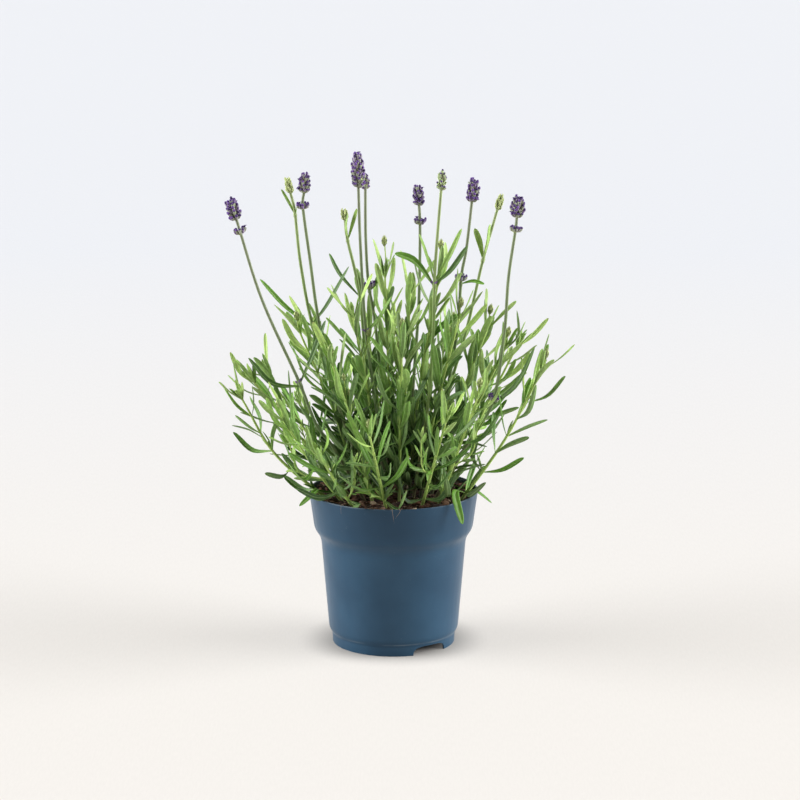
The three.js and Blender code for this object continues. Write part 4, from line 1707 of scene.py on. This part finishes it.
@dataclass(frozen=True)
class FlowerKit:
    """The single flower parts, which heads and rings of flowers are put together from.

    Each body has radius and parameter pairs along its own bent course.
    """

    radius: float = 0.9
    calyx: tuple[Pair, ...] = (
        (0, 0), (0.4, 0), (0.74, 0.07), (0.98, 0.22), (1.08, 0.4), (1.0, 0.58), (0.98, 0.7),
        (1.08, 0.77), (0.86, 0.76), (0.66, 0.66), (0, 0.6),
    )
    bud: tuple[Pair, ...] = (
        (0, 0.58), (0.6, 0.62), (0.82, 0.69), (1.0, 0.78), (0.96, 0.87), (0.62, 0.96), (0, 1.0),
    )
    closed: tuple[Pair, ...] = (
        (0, 0), (0.4, 0), (0.78, 0.12), (1.04, 0.36), (1.0, 0.6), (0.72, 0.82), (0.34, 0.96),
        (0, 1.0),
    )
    bud_girth: float = 1.12
    rib_depth: float = 0.06
    lobes: tuple[Triple, ...] = (
        (0.42, 2.3, 2.0), (-0.42, 2.3, 2.0), (2.2, 1.6, 1.4), (3.14, 1.8, 1.5), (-2.2, 1.6, 1.4),
    )
    petal_tone: float = 0.9

    def body(self, outline: Sequence[Pair], course: GrowthCurve, size: float,
             ribs: int = 8) -> Shape:
        """Returns one of the bodies grown along a course, as many times its usual size."""
        profile = [(r * self.radius * size, t) for r, t in outline]
        return grown_body(course, profile, 2 * ribs, ribs, self.rib_depth)

    def course(self, place: Array, axis: Array, out: Array, tilt: float,
               bend: float, length: float) -> GrowthCurve:
        """Lays out a flower that bends up along its stalk.

        Args:
            place: The flower's foot.
            axis: The stalk's direction.
            out: The direction away from the stalk.
            tilt: The flower's angle from the stalk, in radians.
            bend: How much more it leans at its foot, and less at its tip, in radians.
            length: Its length.

        Returns:
            The flower's course.
        """
        middle = place + leaned(axis, out, tilt + bend) * length / 2
        tip = middle + leaned(axis, out, tilt - bend) * length / 2
        return GrowthCurve([place, middle, tip])

    def petals(self, place: Array, axis: Array, spin: float) -> list[Leaf]:
        """Lays out an open corolla's five lobes.

        Args:
            place: The mouth of the calyx.
            axis: The flower's direction.
            spin: The turn about it, in radians.

        Returns:
            The lobes as small rounded blades.
        """
        helper = UP if abs(axis[2]) < 0.9 else np.array([1.0, 0, 0])
        side = unit(np.cross(helper, axis))
        front = np.cross(axis, side)
        blades = []
        for turn, length, width in self.lobes:
            out = leaned(front, side, turn + spin)
            course = GrowthCurve([
                place - axis * 0.6,
                place + axis * 0.9 + out * 0.5 * length,
                place + axis * 0.8 + out * length,
            ])
            blades.append(Leaf(course, np.cross(axis, out), width, SCALE, 0.25,
                               tone=self.petal_tone))
        return blades

    def floret(self, surface: Surface, course: GrowthCurve, size: float, dice: GrowthDice,
               kind: HeadKind) -> None:
        """Adds one flower.

        Args:
            surface: The head's surface, with the finishes calyx, corolla and bud.
            course: The flower's course.
            size: The scale of its thickness.
            dice: The head's random numbers.
            kind: How far the head has opened.
        """
        tone, age = dice.roll(), dice.between(0.35, 1.0)
        size *= dice.between(0.92, 1.08)
        if kind is HeadKind.GREEN:
            size *= self.bud_girth
            surface.add(self.body(self.closed, course, size, 6), BUD, tone=tone, age=age * 0.15)
            return
        turning = kind is HeadKind.TURNING
        surface.add(self.body(self.calyx, course, size), CALYX, tone=tone,
                    age=0.35 * age if turning else age)
        chance = dice.roll()
        if chance < (0.62 if turning else 0.06):
            return
        surface.add(self.body(self.bud, course, size, 6), COROLLA, tone=dice.roll())
        if chance > 0.92 and not turning:
            axis = course.tangent(0.9)
            for lobe in self.petals(course.at(0.82), axis, dice.roll() * FULL_SPIN):
                surface.add(lobe.shape(), COROLLA)

    def bract(self, place: Array, axis: Array, out: Array, size: float,
              dice: GrowthDice) -> Leaf:
        """Lays out a small pointed bract that cups the flowers above it.

        Args:
            place: The bract's foot.
            axis: The stalk's direction.
            out: The direction away from the stalk.
            size: The bract's scale.
            dice: The head's random numbers.

        Returns:
            The bract as a small rounded blade.
        """
        course = GrowthCurve([
            place,
            place + out * 1.5 * size + axis * 0.5 * size,
            place + out * 2.1 * size + axis * 2.2 * size,
        ])
        return Leaf(course, np.cross(axis, out), 2.9 * size, SCALE, 0.3, tone=dice.roll(),
                    age=dice.between(0.0, 0.4))


@dataclass
class Growth:
    """A part of the plant that stands for one CAD node, with its own random numbers."""

    number: int

    NODE = "growth"
    SLOT = Slot.LEAF
    SEEDS = (0, 1)

    def __post_init__(self) -> None:
        """Names the part, and starts its surface and its random numbers."""
        self.node = f"{self.NODE}_{self.number + 1:02d}"
        self.surface = Surface(self.node.partition("_")[2])
        self.dice = GrowthDice(self.SEEDS[0] + self.SEEDS[1] * self.number)

    def slot(self) -> Slot:
        """Returns the part's material slot."""
        return self.SLOT

    def sprout(self, leaf: Leaf) -> None:
        """Adds a leaf."""
        self.surface.add(leaf.shape(), LEAF)

    def dress(self, piece: Piece) -> None:
        """Makes the part's piece stand for its CAD node.

        Args:
            piece: The part's mesh object.
        """
        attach(piece, ROOT_BODY)
        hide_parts(self.node)


@dataclass
class FlowerSpike(Growth):
    """A flower head: tiers of flowers round the end of a stalk."""

    plan: StalkPlan
    stalk: GrowthCurve

    NODE = "flower_spike"
    SEEDS = (7131, 131)
    USUAL_WIDTH = 9.2
    FLOWER_BEND = 0.26

    def slot(self) -> Slot:
        """Returns the slot of violet flowers or of green buds."""
        return Slot.FLOWER if self.plan.kind is HeadKind.VIOLET else Slot.BUD

    def size(self) -> float:
        """Returns the scale of the head's flowers."""
        return limited(self.plan.width / self.USUAL_WIDTH, 0.72, 1.12)

    def flower_length(self) -> float:
        """Returns the usual length of the head's flowers."""
        return (5.0 if self.plan.kind is HeadKind.GREEN else 6.0) * self.size()

    def tiers(self) -> list[tuple[float, int, float, float]]:
        """Lays out the tiers of flowers.

        Returns:
            Each tier's height, flower count, reach and tilt from the axis in degrees.
        """
        green = self.plan.kind is HeadKind.GREEN
        waisted = self.number in WAISTED_HEADS
        count = max(4, round(self.plan.length / (2.0 if green else 2.7)))
        highest = max(self.plan.length - self.flower_length() * 0.92, 0.3 * self.plan.length)
        rows = []
        for i in range(count):
            share = i / (count - 1)
            fullness = math.sin(math.pi * (0.27 + 0.63 * share)) ** 0.7
            if waisted and 0.3 < share < 0.6:
                fullness *= 0.86
            flowers = round(mix(8, 4, share) if green else mix(9, 5, share))
            reach = (0.5 if green else 0.475) * self.plan.width * fullness
            tilt = mix(44, 12, share) if green else mix(52, 16, share)
            rows.append((mix(0.3, highest, share), flowers, max(reach, 1.6 * self.size()), tilt))
        return rows

    def build(self, kit: FlowerKit, palette: Palette) -> Piece:
        """Builds the head's mesh.

        Args:
            kit: The single flower parts.
            palette: The plant's finishes.

        Returns:
            The head, with a core that lengthens the stalk.
        """
        dice, surface = self.dice, self.surface
        foot, axis = self.stalk.node(1.0)
        core = GrowthCurve([foot - axis * 0.2, foot + axis * 0.3 * self.plan.length,
                            foot + axis * 0.66 * self.plan.length])
        surface.add(stem_shape(core, lambda t: 1.0 - 0.5 * t, 6), CORE, along=0.9)
        low, high = 0.8 * self.flower_length(), 1.08 * self.flower_length()
        tiers = self.tiers()
        for row, (height, flowers, reach, tilt) in enumerate(tiers):
            offset = dice.roll() * math.pi
            for k in range(flowers):
                out = outward(axis, offset + (k + dice.jitter(0.2)) / flowers * math.tau)
                angle = math.radians(tilt + dice.jitter(7))
                length = limited((reach - 0.5) / math.sin(angle), low, high)
                length *= dice.between(0.92, 1.06)
                place = foot + axis * (height + dice.jitter(0.6)) + out * 0.5
                course = kit.course(place, axis, out, angle, self.FLOWER_BEND, length)
                kit.floret(surface, course, self.size(), dice, self.plan.kind)
            if row < len(tiers) - 2:
                for k in range(2):
                    out = outward(axis, offset + k * math.pi + row * math.pi / 2)
                    place = foot + axis * (height - 0.5) + out * 0.8
                    bract = kit.bract(place, axis, out, reach / 4.0, dice)
                    surface.add(bract.shape(), BUD)
        return surface.piece([palette.calyx, palette.corolla, palette.bud, palette.stalk])


@dataclass
class FlowerWhorl(Growth):
    """A ring of flowers round a stalk: two opposite bunches over two bracts."""

    stalk: GrowthCurve
    height: float
    flowers: int = 10
    tilt: float = 39
    length: float = 5.8
    spacing: float = 0.56
    bend: float = 0.5
    bract_size: float = 1.2

    NODE = "flower_whorl"
    SLOT = Slot.FLOWER
    SEEDS = (9100, 57)

    def build(self, kit: FlowerKit, palette: Palette) -> Piece:
        """Builds the ring's mesh.

        Args:
            kit: The single flower parts.
            palette: The plant's finishes.

        Returns:
            The ring of flowers.
        """
        dice, surface = self.dice, self.surface
        foot, axis = self.stalk.node(self.stalk.parameter_at(self.height - 2.0))
        start = dice.jitter(0.5)
        for k in range(self.flowers):
            turn = start + k % 2 * math.pi + (k // 2 - 2) * self.spacing + dice.jitter(0.12)
            out = outward(axis, turn)
            angle = math.radians(self.tilt + dice.jitter(9))
            place = foot + out * 0.85 + axis * dice.jitter(0.4)
            length = self.length * dice.between(0.88, 1.08)
            course = kit.course(place, axis, out, angle, self.bend, length)
            kit.floret(surface, course, 1.0, dice, HeadKind.VIOLET)
        for k in range(2):
            out = outward(axis, start + k * math.pi)
            bract = kit.bract(foot - axis * 0.9 + out * 0.7, axis, out, self.bract_size, dice)
            surface.add(bract.shape(), BUD)
        return surface.piece([palette.calyx, palette.corolla, palette.bud])


# ---- Stalks and shoots ----


@dataclass
class FlowerStalk(Growth):
    """A tall square stalk with a few narrow blue-green leaves at its nodes."""

    plan: StalkPlan
    curve: GrowthCurve
    courses: list[GrowthCurve]
    radius: float = 1.22
    tip_radius: float = 0.98
    node_swelling: float = 0.3
    node_length: float = 0.008

    NODE = "flower_stalk"
    SLOT = Slot.STALK
    SEEDS = (3100, 77)

    def radius_at(self, t: Array) -> Array:
        """Finds the stalk's half thickness, which is more at its nodes.

        Args:
            t: The parameters of its rings.

        Returns:
            The half thickness at each.
        """
        radius = mix(self.radius, self.tip_radius, t)
        for leaf in self.plan.leaves:
            away = (t - self.curve.parameter_at(leaf.start)) / self.node_length
            radius = radius + self.node_swelling * np.exp(-(away**2))
        return radius

    def build(self, kit: FlowerKit, palette: Palette) -> Piece:
        """Builds the stalk's mesh with its leaves and node buds.

        Args:
            kit: The single flower parts.
            palette: The plant's finishes.

        Returns:
            The whole stalk.
        """
        dice, surface = self.dice, self.surface
        surface.add(stem_shape(self.curve, self.radius_at, 140), STEM)
        courses = list(self.courses)
        for plan in self.plan.axil_leaves:
            start = self.curve.at(self.curve.parameter_at(plan.start))
            courses.append(GrowthCurve([start, plan.bend, plan.tip]))
        for plan, course in zip(self.plan.leaves + self.plan.axil_leaves, courses):
            across = course.level_across()
            turn = math.copysign(dice.between(0.75, 1.2), across[1])
            self.sprout(Leaf(course, across, plan.width, fold=dice.between(0.15, 0.5),
                             roll=turn, twist=dice.jitter(0.5), tone=plan.tone, age=plan.age))
        for height in self.plan.node_buds:
            self.add_node_buds(kit, height)
        ripe = self.plan.kind is HeadKind.VIOLET
        stalk = palette.stalk if ripe else palette.young_stalk
        return surface.piece([stalk, palette.leaf, palette.calyx])

    def add_node_buds(self, kit: FlowerKit, height: float) -> None:
        """Adds the few small dark buds that sit in a node.

        Args:
            kit: The single flower parts.
            height: The node's height.
        """
        dice = self.dice
        place, axis = self.curve.node(self.curve.parameter_at(height))
        for k in range(6):
            out = outward(axis, k * math.pi / 3 + dice.jitter(0.4))
            heading = leaned(axis, out, math.radians(dice.between(35, 70)))
            start = place + out * 0.7 + axis * dice.jitter(0.8)
            course = GrowthCurve([start, start + heading * 1.4, start + heading * 2.8])
            shape = kit.body(kit.closed, course, 0.6, 6)
            self.surface.add(shape, SCALES, tone=dice.between(0.0, 0.4), age=1.0, along=0.9)


@dataclass
class LeafyShoot(Growth):
    """A leafy shoot: stem, opposite leaves, young leaves in their axils, and its tip."""

    plan: ShootPlan
    curve: GrowthCurve
    leaves: list[GrownLeaf]
    rule: GrowthRule
    radius: float = 1.25
    tip_radius: float = 0.68
    leaf_width: float = 4.85
    open_soil: float = 44
    low_crown: float = 128
    crown_middle: float = 172
    shade_top: float = 165
    lowest_leaf: float = 112
    rim_leaf: float = 116
    outer_reach: float = 74
    front_foot: float = -14

    NODE = "leafy_shoot"
    SEEDS = (5200, 93)

    def outer(self) -> bool:
        """Returns whether the shoot spreads far out, where growth is sparse."""
        return math.hypot(*self.plan.tip[:2]) > self.outer_reach

    def in_shaded_crown(self) -> bool:
        """Returns whether the shoot's foot stands inside the crown, whose low stems and leaves
        are darkened as painted shade.
        """
        return self.plan.foot[1] > self.front_foot and not self.outer()

    def branch(self, t: float) -> tuple[Array, Array, Array]:
        """Picks a way out from the stem.

        Args:
            t: The parameter of the place on the stem.

        Returns:
            The place, the stem's direction there, and a random direction away from it.
        """
        place, axis = self.curve.node(t)
        return place, axis, outward(axis, self.dice.turn())

    def build(self, _: FlowerKit, palette: Palette) -> Piece:
        """Builds the shoot's mesh.

        Args:
            _: The single flower parts, which a shoot doesn't need.
            palette: The plant's finishes.

        Returns:
            The whole shoot.
        """
        dice = self.dice
        stem = stem_shape(self.curve, lambda t: mix(self.radius, self.tip_radius, t), 48, 10)
        # The stem's age shade marks shoots inside the crown, whose low stems get near-black
        # painted shade.
        self.surface.add(stem, STEM, age=float(self.in_shaded_crown()))
        for leaf in self.leaves:
            self.add_leaf(leaf)
        for plan, course in zip(STRAY_LEAVES, self.rule.stray_leaves):
            if plan.shoot == self.number + 1:
                self.sprout(Leaf(course, course.level_across(), 1.03 * plan.width, fold=0.25,
                                 roll=dice.jitter(0.2), twist=dice.jitter(0.3), tone=0.55,
                                 age=0.62))
        self.add_low_leaves()
        self.add_inner_leaves()
        self.add_side_shoot()
        self.add_tip()
        self.add_side_buds()
        return self.surface.piece([palette.shoot, palette.leaf, palette.bud])

    def add_leaf(self, grown: GrownLeaf) -> None:
        """Adds one main leaf, and sometimes young leaves in its axil.

        Args:
            grown: Where the leaf has found room.
        """
        dice, outer, youth = self.dice, self.outer(), grown.share
        height = grown.course.at(0.0)[2]
        age = mix(0.8, 0.25, youth**0.8) + dice.jitter(0.22) - (height - self.crown_middle) / 200
        age -= 0.14 if outer else 0.0
        room = max(grown.course.at(1.0)[2] - self.lowest_leaf - 0.5, 0.0)
        sag = min(dice.between(-7.0, 1.5 if outer else 3.5) * (1.2 - youth), room)
        width = self.leaf_width * (0.88 if outer else 1.04)
        self.sprout(Leaf(
            grown.course.bowed(grown.across, dice.jitter(2.4), sag), grown.across,
            width * mix(1.06, 0.84, youth) * dice.between(0.86, 1.1),
            fold=dice.between(0.05, 0.55), roll=dice.jitter(0.4),
            twist=dice.jitter(1.0), tone=dice.roll(), age=limited(age, 0.05),
        ))
        if dice.roll() < (0.3 if outer else mix(0.75, 0.55, youth)):
            self.add_axil_leaves(grown)

    def add_axil_leaves(self, grown: GrownLeaf) -> None:
        """Adds two or three young leaves between a leaf and its stem.

        Args:
            grown: The leaf that they stand above.
        """
        dice = self.dice
        place, away = grown.course.at(0.0), grown.course.tangent(0.1)
        upward = unit(away + UP * dice.between(0.9, 1.8))
        # Painted shade: low on shoots inside the crown, these young leaves are given an older,
        # darker colour.
        shaded = 0.65 * limited((self.shade_top - place[2]) / 40) if self.in_shaded_crown() else 0.0
        for _ in range(2 + (dice.roll() < 0.4)):
            length = dice.between(7, 17)
            heading = unit(upward + grown.across * dice.jitter(0.45))
            later = unit(heading + away * dice.between(-0.1, 0.5))
            self.sprout(Leaf(sprig(place, heading, later, length), grown.across,
                             dice.between(1.7, 2.7), SLIM,
                             fold=dice.between(0.2, 0.7), roll=dice.jitter(0.6),
                             twist=dice.jitter(0.8), tone=dice.roll(),
                             age=dice.between(0.0, 0.35) + shaded))

    def add_low_leaves(self) -> None:
        """Adds the broad dark leaves near the shoot's foot: old leaves, darkened further as
        painted shade by a darker tone and, inside the crown, the oldest colour.
        """
        dice, outer = self.dice, self.outer()
        for _ in range(4 if outer else 12):
            height = dice.between(107, 118 if outer else 152)
            place, axis, out = self.branch(self.curve.parameter_at(height))
            length = dice.between(16, 27) if outer else dice.between(22, 40)
            heading = leaned(axis, out, math.radians(dice.between(18, 78)))
            later = unit(heading + UP * dice.between(-0.6, 0.7))
            middle = place + heading * 0.5 * length
            tip = middle + later * 0.5 * length
            reach = math.hypot(tip[0], tip[1])
            middle[2] = max(middle[2], self.lowest_leaf)
            tip[2] = max(tip[2], self.lowest_leaf if reach < 50 else self.rim_leaf)
            # Painted shade: these low leaves take only the darker half of the tones, and inside
            # the crown the oldest, darkest colour.
            leaf = Leaf(GrowthCurve([place, middle, tip]), np.cross(axis, out),
                        dice.between(4.0, 5.8), fold=dice.between(0.0, 0.5),
                        roll=dice.jitter(0.5), twist=dice.jitter(0.8),
                        tone=0.16 + 0.34 * dice.roll(),
                        age=dice.between(0.92 if self.in_shaded_crown() else 0.75, 1.0))
            if reach < self.open_soil or tip[2] > self.low_crown:
                self.sprout(leaf)

    def add_inner_leaves(self) -> None:
        """Adds upright leaves that fill the crown between the main pairs."""
        dice = self.dice
        for _ in range(1 if self.outer() else 11):
            t = dice.between(0.2, 0.84)
            place, axis, out = self.branch(t)
            length = dice.between(20, 34)
            heading = leaned(axis, out, math.radians(dice.between(14, 36)))
            later = unit(heading + out * dice.between(-0.35, 0.45))
            self.sprout(Leaf(sprig(place, heading, later, length), np.cross(axis, out),
                             dice.between(3.5, 5.2),
                             fold=dice.between(0.1, 0.6), roll=dice.jitter(0.5),
                             twist=dice.jitter(1.0), tone=dice.roll(),
                             age=limited(mix(1.0, 0.12, t) + dice.jitter(0.25))))

    def add_side_shoot(self) -> None:
        """Adds a short side shoot with young leaves, on most shoots."""
        dice = self.dice
        if dice.roll() < 0.3:
            return
        place, axis = self.curve.node(dice.between(0.22, 0.5))
        turn = dice.turn()
        out = outward(axis, turn)
        length = dice.between(26, 46)
        bend = place + unit(axis * 0.8 + out * 0.8) * 0.45 * length
        tip = bend + unit(axis * 0.4 + out * 0.2 + UP * 0.9) * 0.55 * length
        course = GrowthCurve([place, bend, tip])
        self.surface.add(stem_shape(course, lambda s: 0.62 - 0.2 * s, 16, 8), STEM, along=0.8)
        for i in range(4):
            share = (i + 1) / 4.4
            here, along = course.node(share)
            azimuth = turn + i * math.pi / 2
            for opposite in (0.0, math.pi):
                blade, across = self.rule.leaf_course(
                    here, along, azimuth + opposite + dice.jitter(0.3),
                    math.radians(mix(50, 26, share)), dice.between(11, 20) * mix(1, 0.7, share),
                    dice.jitter(0.3))
                self.sprout(Leaf(blade, across, dice.between(2.3, 3.4), SLIM,
                                 fold=dice.between(0.1, 0.6), roll=dice.jitter(0.4),
                                 twist=dice.jitter(0.8), tone=dice.roll(),
                                 age=dice.between(0.05, 0.4)))
        self.add_tuft(*course.node(1.0), 0.7)

    def add_tuft(self, place: Array, axis: Array, size: float) -> None:
        """Adds the small upright leaves of a growing point.

        Args:
            place: The growing point.
            axis: The direction it grows in.
            size: Its scale.
        """
        dice = self.dice
        start = dice.roll() * math.pi
        for k in range(6):
            out = outward(axis, start + k * math.pi / 2 + (k // 2) * 0.6 + dice.jitter(0.2))
            length = size * mix(15, 7, k / 5) * dice.between(0.85, 1.15)
            heading = leaned(axis, out, math.radians(mix(26, 10, k / 5)))
            middle = place + heading * 0.55 * length
            tip = middle + unit(heading + axis * 0.5) * 0.45 * length
            self.sprout(Leaf(GrowthCurve([place - axis, middle, tip]), np.cross(axis, out),
                             size * mix(3.2, 1.8, k / 5), SLIM, fold=0.6, roll=dice.jitter(0.2),
                             tone=dice.between(0.4, 1.0), age=dice.between(0.0, 0.2)))

    def add_tip(self) -> None:
        """Adds the growing point, or a young flower bud between a last pair of long leaves."""
        start, axis = self.curve.at(self.rule.top_node), self.curve.tangent(1.0)
        pedicel = self.plan.bud
        self.add_tuft(start, axis, 0.5 if pedicel else 1.0)
        if pedicel:
            rise = unit(axis + UP)
            self.add_bud(start, start + rise * pedicel, 1.0)
            self.add_last_pair(start - axis * 2, rise, self.dice.between(19, 27))

    def add_last_pair(self, place: Array, axis: Array, length: float) -> None:
        """Adds the two long upright leaves that stand on either side of a bud.

        Args:
            place: The node that they grow from.
            axis: The bud's direction.
            length: Their usual length.
        """
        dice = self.dice
        turn = dice.turn()
        for opposite in (0.0, math.pi):
            out = outward(axis, turn + opposite)
            angle = math.radians(dice.between(15, 27))
            reach = length * dice.between(0.85, 1.12)
            heading = leaned(axis, out, angle)
            later = unit(heading + out * dice.between(-0.3, 0.25))
            self.sprout(Leaf(sprig(place, heading, later, reach), np.cross(axis, out),
                             0.145 * reach * dice.between(0.85, 1.1),
                             fold=dice.between(0.2, 0.7), roll=dice.jitter(0.4),
                             twist=dice.jitter(0.7), tone=dice.between(0.3, 1.0),
                             age=dice.between(0.05, 0.4)))

    def add_side_buds(self) -> None:
        """Adds thin stems with small buds that rise from the crown between the leaves."""
        dice = self.dice
        if self.outer():
            return
        for _ in range(int(dice.roll() * 2.4)):
            place, axis, out = self.branch(dice.between(0.62, 0.92))
            rise = unit(axis + out * dice.between(0.15, 0.45) + UP * 0.4)
            end = place + rise * dice.between(17, 28)
            self.add_bud(place, end, dice.between(0.62, 0.8))
            if dice.roll() < 0.6:
                node = place + (end - place) * dice.between(0.35, 0.6)
                self.add_last_pair(node, rise, dice.between(9, 15))

    def add_bud(self, start: Array, end: Array, size: float) -> None:
        """Adds a thin stem with a young flower bud in its scales.

        Args:
            start: The stem's foot.
            end: The middle of the bud.
            size: The bud's scale.
        """
        dice = self.dice
        rise = unit(end - start)
        side, front = frame_of(rise)
        sway = side * dice.jitter(0.8) + front * dice.jitter(0.8)
        course = GrowthCurve([start, (start + end) / 2 + sway, end])
        self.surface.add(stem_shape(course, lambda t: 0.5 - 0.1 * t, 10, 8), STEM, along=0.95)
        core = turned([(0, -4), (0.5, -3.6), (1.15, -1.6), (1.3, 0), (1.0, 2), (0.4, 3.6),
                       (0, 4)], 10)
        core = core.stood(end, rise, 0, (size, size, size))
        self.surface.add(core, SCALES, tone=0.6, along=0.6)
        for row in range(5):
            low = end + rise * size * mix(-3.4, 1.4, row / 4)
            fullness = size * math.sin(math.pi * (0.22 + 0.6 * row / 4))
            for k in range(4):
                out = outward(rise, k * math.pi / 2 + row * math.pi / 4)
                path = GrowthCurve([low, low + out * 1.45 * fullness + rise * 1.3 * size,
                                    low + out * 1.05 * fullness + rise * 3.1 * size])
                scale = Leaf(path, np.cross(rise, out), 2.4 * fullness, SCALE, fold=-0.45,
                             tone=dice.between(0.3, 1.0), age=0.1)
                self.surface.add(scale.shape(), SCALES)


# ---- Studio ----


@dataclass
class Studio:
    """A plain pale floor that glows a little like a light table, less near the pot as a painted
    contact shadow, soft light and the camera.
    """

    floor_size: float = 40.0
    near_floor: Colour = (0.882, 0.848, 0.808)
    far_floor: Colour = (0.808, 0.822, 0.858)
    floor_share: float = 0.25
    floor_glow: float = 0.62
    # Where the glow fades near the pot, as a painted contact shadow.
    contact_shadow_fade: Pair = (0.026, 0.072)
    camera_place: Triple = (0.0046, -2.2, 0.669)
    camera_target: Triple = (0.0046, 0.0, 0.1756)
    lens: float = 143.8
    sensor: float = 36.0
    side_light: float = 0.9
    back_light: float = 0.4
    dim_light: float = 0.075
    sky_colour: Colour = (0.96, 0.98, 1.0)

    def floor(self) -> None:
        """Lays the floor with its pale matt finish and its glow, which fades near the pot as a
        painted contact shadow.
        """
        half = self.floor_size / 2
        mesh = bpy.data.meshes.new("studio_floor")
        corners = [(-half, -half, 0), (half, -half, 0), (half, half, 0), (-half, half, 0)]
        mesh.from_pydata(corners, [], [(0, 1, 2, 3)])
        bench = Bench("pale_floor", 0.9, Specular_IOR_Level=0.1)
        place = bench.place()
        away = bench.span(place["Y"], 0.0, 1.6)
        tint = bench.mixed(away, self.near_floor, self.far_floor)
        weave = bench.noise(700.0, 2.0, (1.0, 0.15, 1.0))
        cloth = bench.span(weave, 0.3, 0.7, 0.985, 1.01)
        woven = bench.mixed(1.0, tint, cloth, "MULTIPLY")
        bench.colour(woven, (self.floor_share,) * 3)
        bench.put(bench.shader.inputs["Emission Color"], woven)
        squares = (bench.maths("POWER", place[axis], 2.0) for axis in "XY")
        radius = bench.maths("SQRT", bench.maths("ADD", *squares))
        # Painted shadow: the glow fades to nothing near the pot's foot, as a soft contact shadow.
        glow = bench.span(radius, *self.contact_shadow_fade, 0.0, self.floor_glow)
        glow.node.interpolation_type = "SMOOTHSTEP"
        bench.put(bench.shader.inputs["Emission Strength"], glow)
        mesh.materials.append(bench.material)
        floor = bpy.data.objects.new("studio_floor", mesh)
        bpy.context.scene.collection.objects.link(floor)
        floor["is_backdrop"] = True

    def sun(self, name: str, towards: Triple, strength: float, spread: float) -> None:
        """Hangs a soft light far away.

        Args:
            name: The light's name.
            towards: The direction of the light, seen from the plant.
            strength: Its strength, in watts per square metre.
            spread: How wide it is in the sky, in degrees.
        """
        light = bpy.data.lights.new(name, "SUN")
        light.energy = strength
        light.angle = math.radians(spread)
        lamp = bpy.data.objects.new(name, light)
        lamp.rotation_euler = Vector(towards).to_track_quat("Z", "Y").to_euler()
        bpy.context.scene.collection.objects.link(lamp)

    def sky(self) -> None:
        """Fills the room with soft light: bright to both sides, and dim in front and above."""
        world = bpy.data.worlds.new("studio")
        world.use_nodes = True
        nodes = Nodes(world.node_tree)
        towards = nodes.place("Generated")
        aside = nodes.maths("POWER", nodes.maths("ABSOLUTE", towards["X"]), 4.0)
        behind = nodes.maths("POWER", nodes.maths("MAXIMUM", towards["Y"], 0.0), 2.0)
        sides = nodes.maths("MULTIPLY_ADD", aside, self.side_light, self.dim_light)
        strength = nodes.maths("ADD", sides, nodes.maths("MULTIPLY", behind, self.back_light))
        background = nodes.tree.nodes["Background"]
        background.inputs["Color"].default_value = (*self.sky_colour, 1.0)
        nodes.put(background.inputs["Strength"], strength)
        bpy.context.scene.world = world

    def camera(self) -> None:
        """Sets up the camera, which looks a little down on the plant."""
        data = bpy.data.cameras.new("camera")
        data.lens = self.lens
        data.sensor_width = self.sensor
        camera = bpy.data.objects.new("camera", data)
        place, target = Vector(self.camera_place), Vector(self.camera_target)
        camera.location = place
        camera.rotation_euler = (target - place).to_track_quat("-Z", "Y").to_euler()
        bpy.context.scene.collection.objects.link(camera)
        bpy.context.scene.camera = camera

    def build(self) -> None:
        """Puts up the whole studio."""
        self.floor()
        self.sky()
        self.sun("top_light", (-0.14, -0.12, 1.0), 0.6, 80)
        self.sun("left_light", (-1.0, -0.05, 0.34), 6.3, 50)
        self.sun("right_light", (1.0, -0.05, 0.34), 6.9, 50)
        self.camera()
        view = bpy.context.scene.view_settings
        view.view_transform = "Standard"
        view.look = "None"


# ---- The whole ----


def report(pieces: Sequence[Piece]) -> None:
    """Logs the name and size of each finished piece."""
    for piece in pieces:
        log.info("%s: %d faces", piece.name, len(piece.data.polygons))


def write_sizes() -> None:
    """Gathers the CAD box and the visual model's box as plain lists."""
    boxes = {"cad": CAD_BOX, "visual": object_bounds()}
    plain = {name: [list(corner) for corner in box] for name, box in boxes.items()}


def plant(rule: GrowthRule) -> Iterator[Growth]:
    """Lays out the plant's parts one by one.

    Args:
        rule: The rule that the whole plant grows by.

    Returns:
        Each stalk, its head and its rings of flowers, and then the shoots.
    """
    whorls = 0
    for i, (plan, curve) in enumerate(zip(STALKS, rule.stalks)):
        yield FlowerStalk(i, plan, curve, rule.stalk_leaves[i])
        yield FlowerSpike(i, plan, curve)
        for height in plan.whorls:
            yield FlowerWhorl(whorls, curve, height)
            whorls += 1
    for i, (plan, curve) in enumerate(zip(SHOOTS, rule.shoots)):
        yield LeafyShoot(i, plan, curve, rule.shoot_leaves[i], rule)


def main() -> None:
    """Builds the pot, the soil and the plant piece by piece, and then the studio."""
    logging.basicConfig(level=logging.INFO, format="%(name)s: %(message)s")
    for sub_assembly in (Pot(), Soil()):
        pieces = sub_assembly.build()
        sub_assembly.dress(pieces)
        report(pieces)
    kit, palette = FlowerKit(), Palette()
    for part in plant(GrowthRule()):
        piece = part.build(kit, palette)
        part.dress(piece)
        report([piece])
    Studio().build()
    write_sizes()


if __name__ == "__main__":
    main()
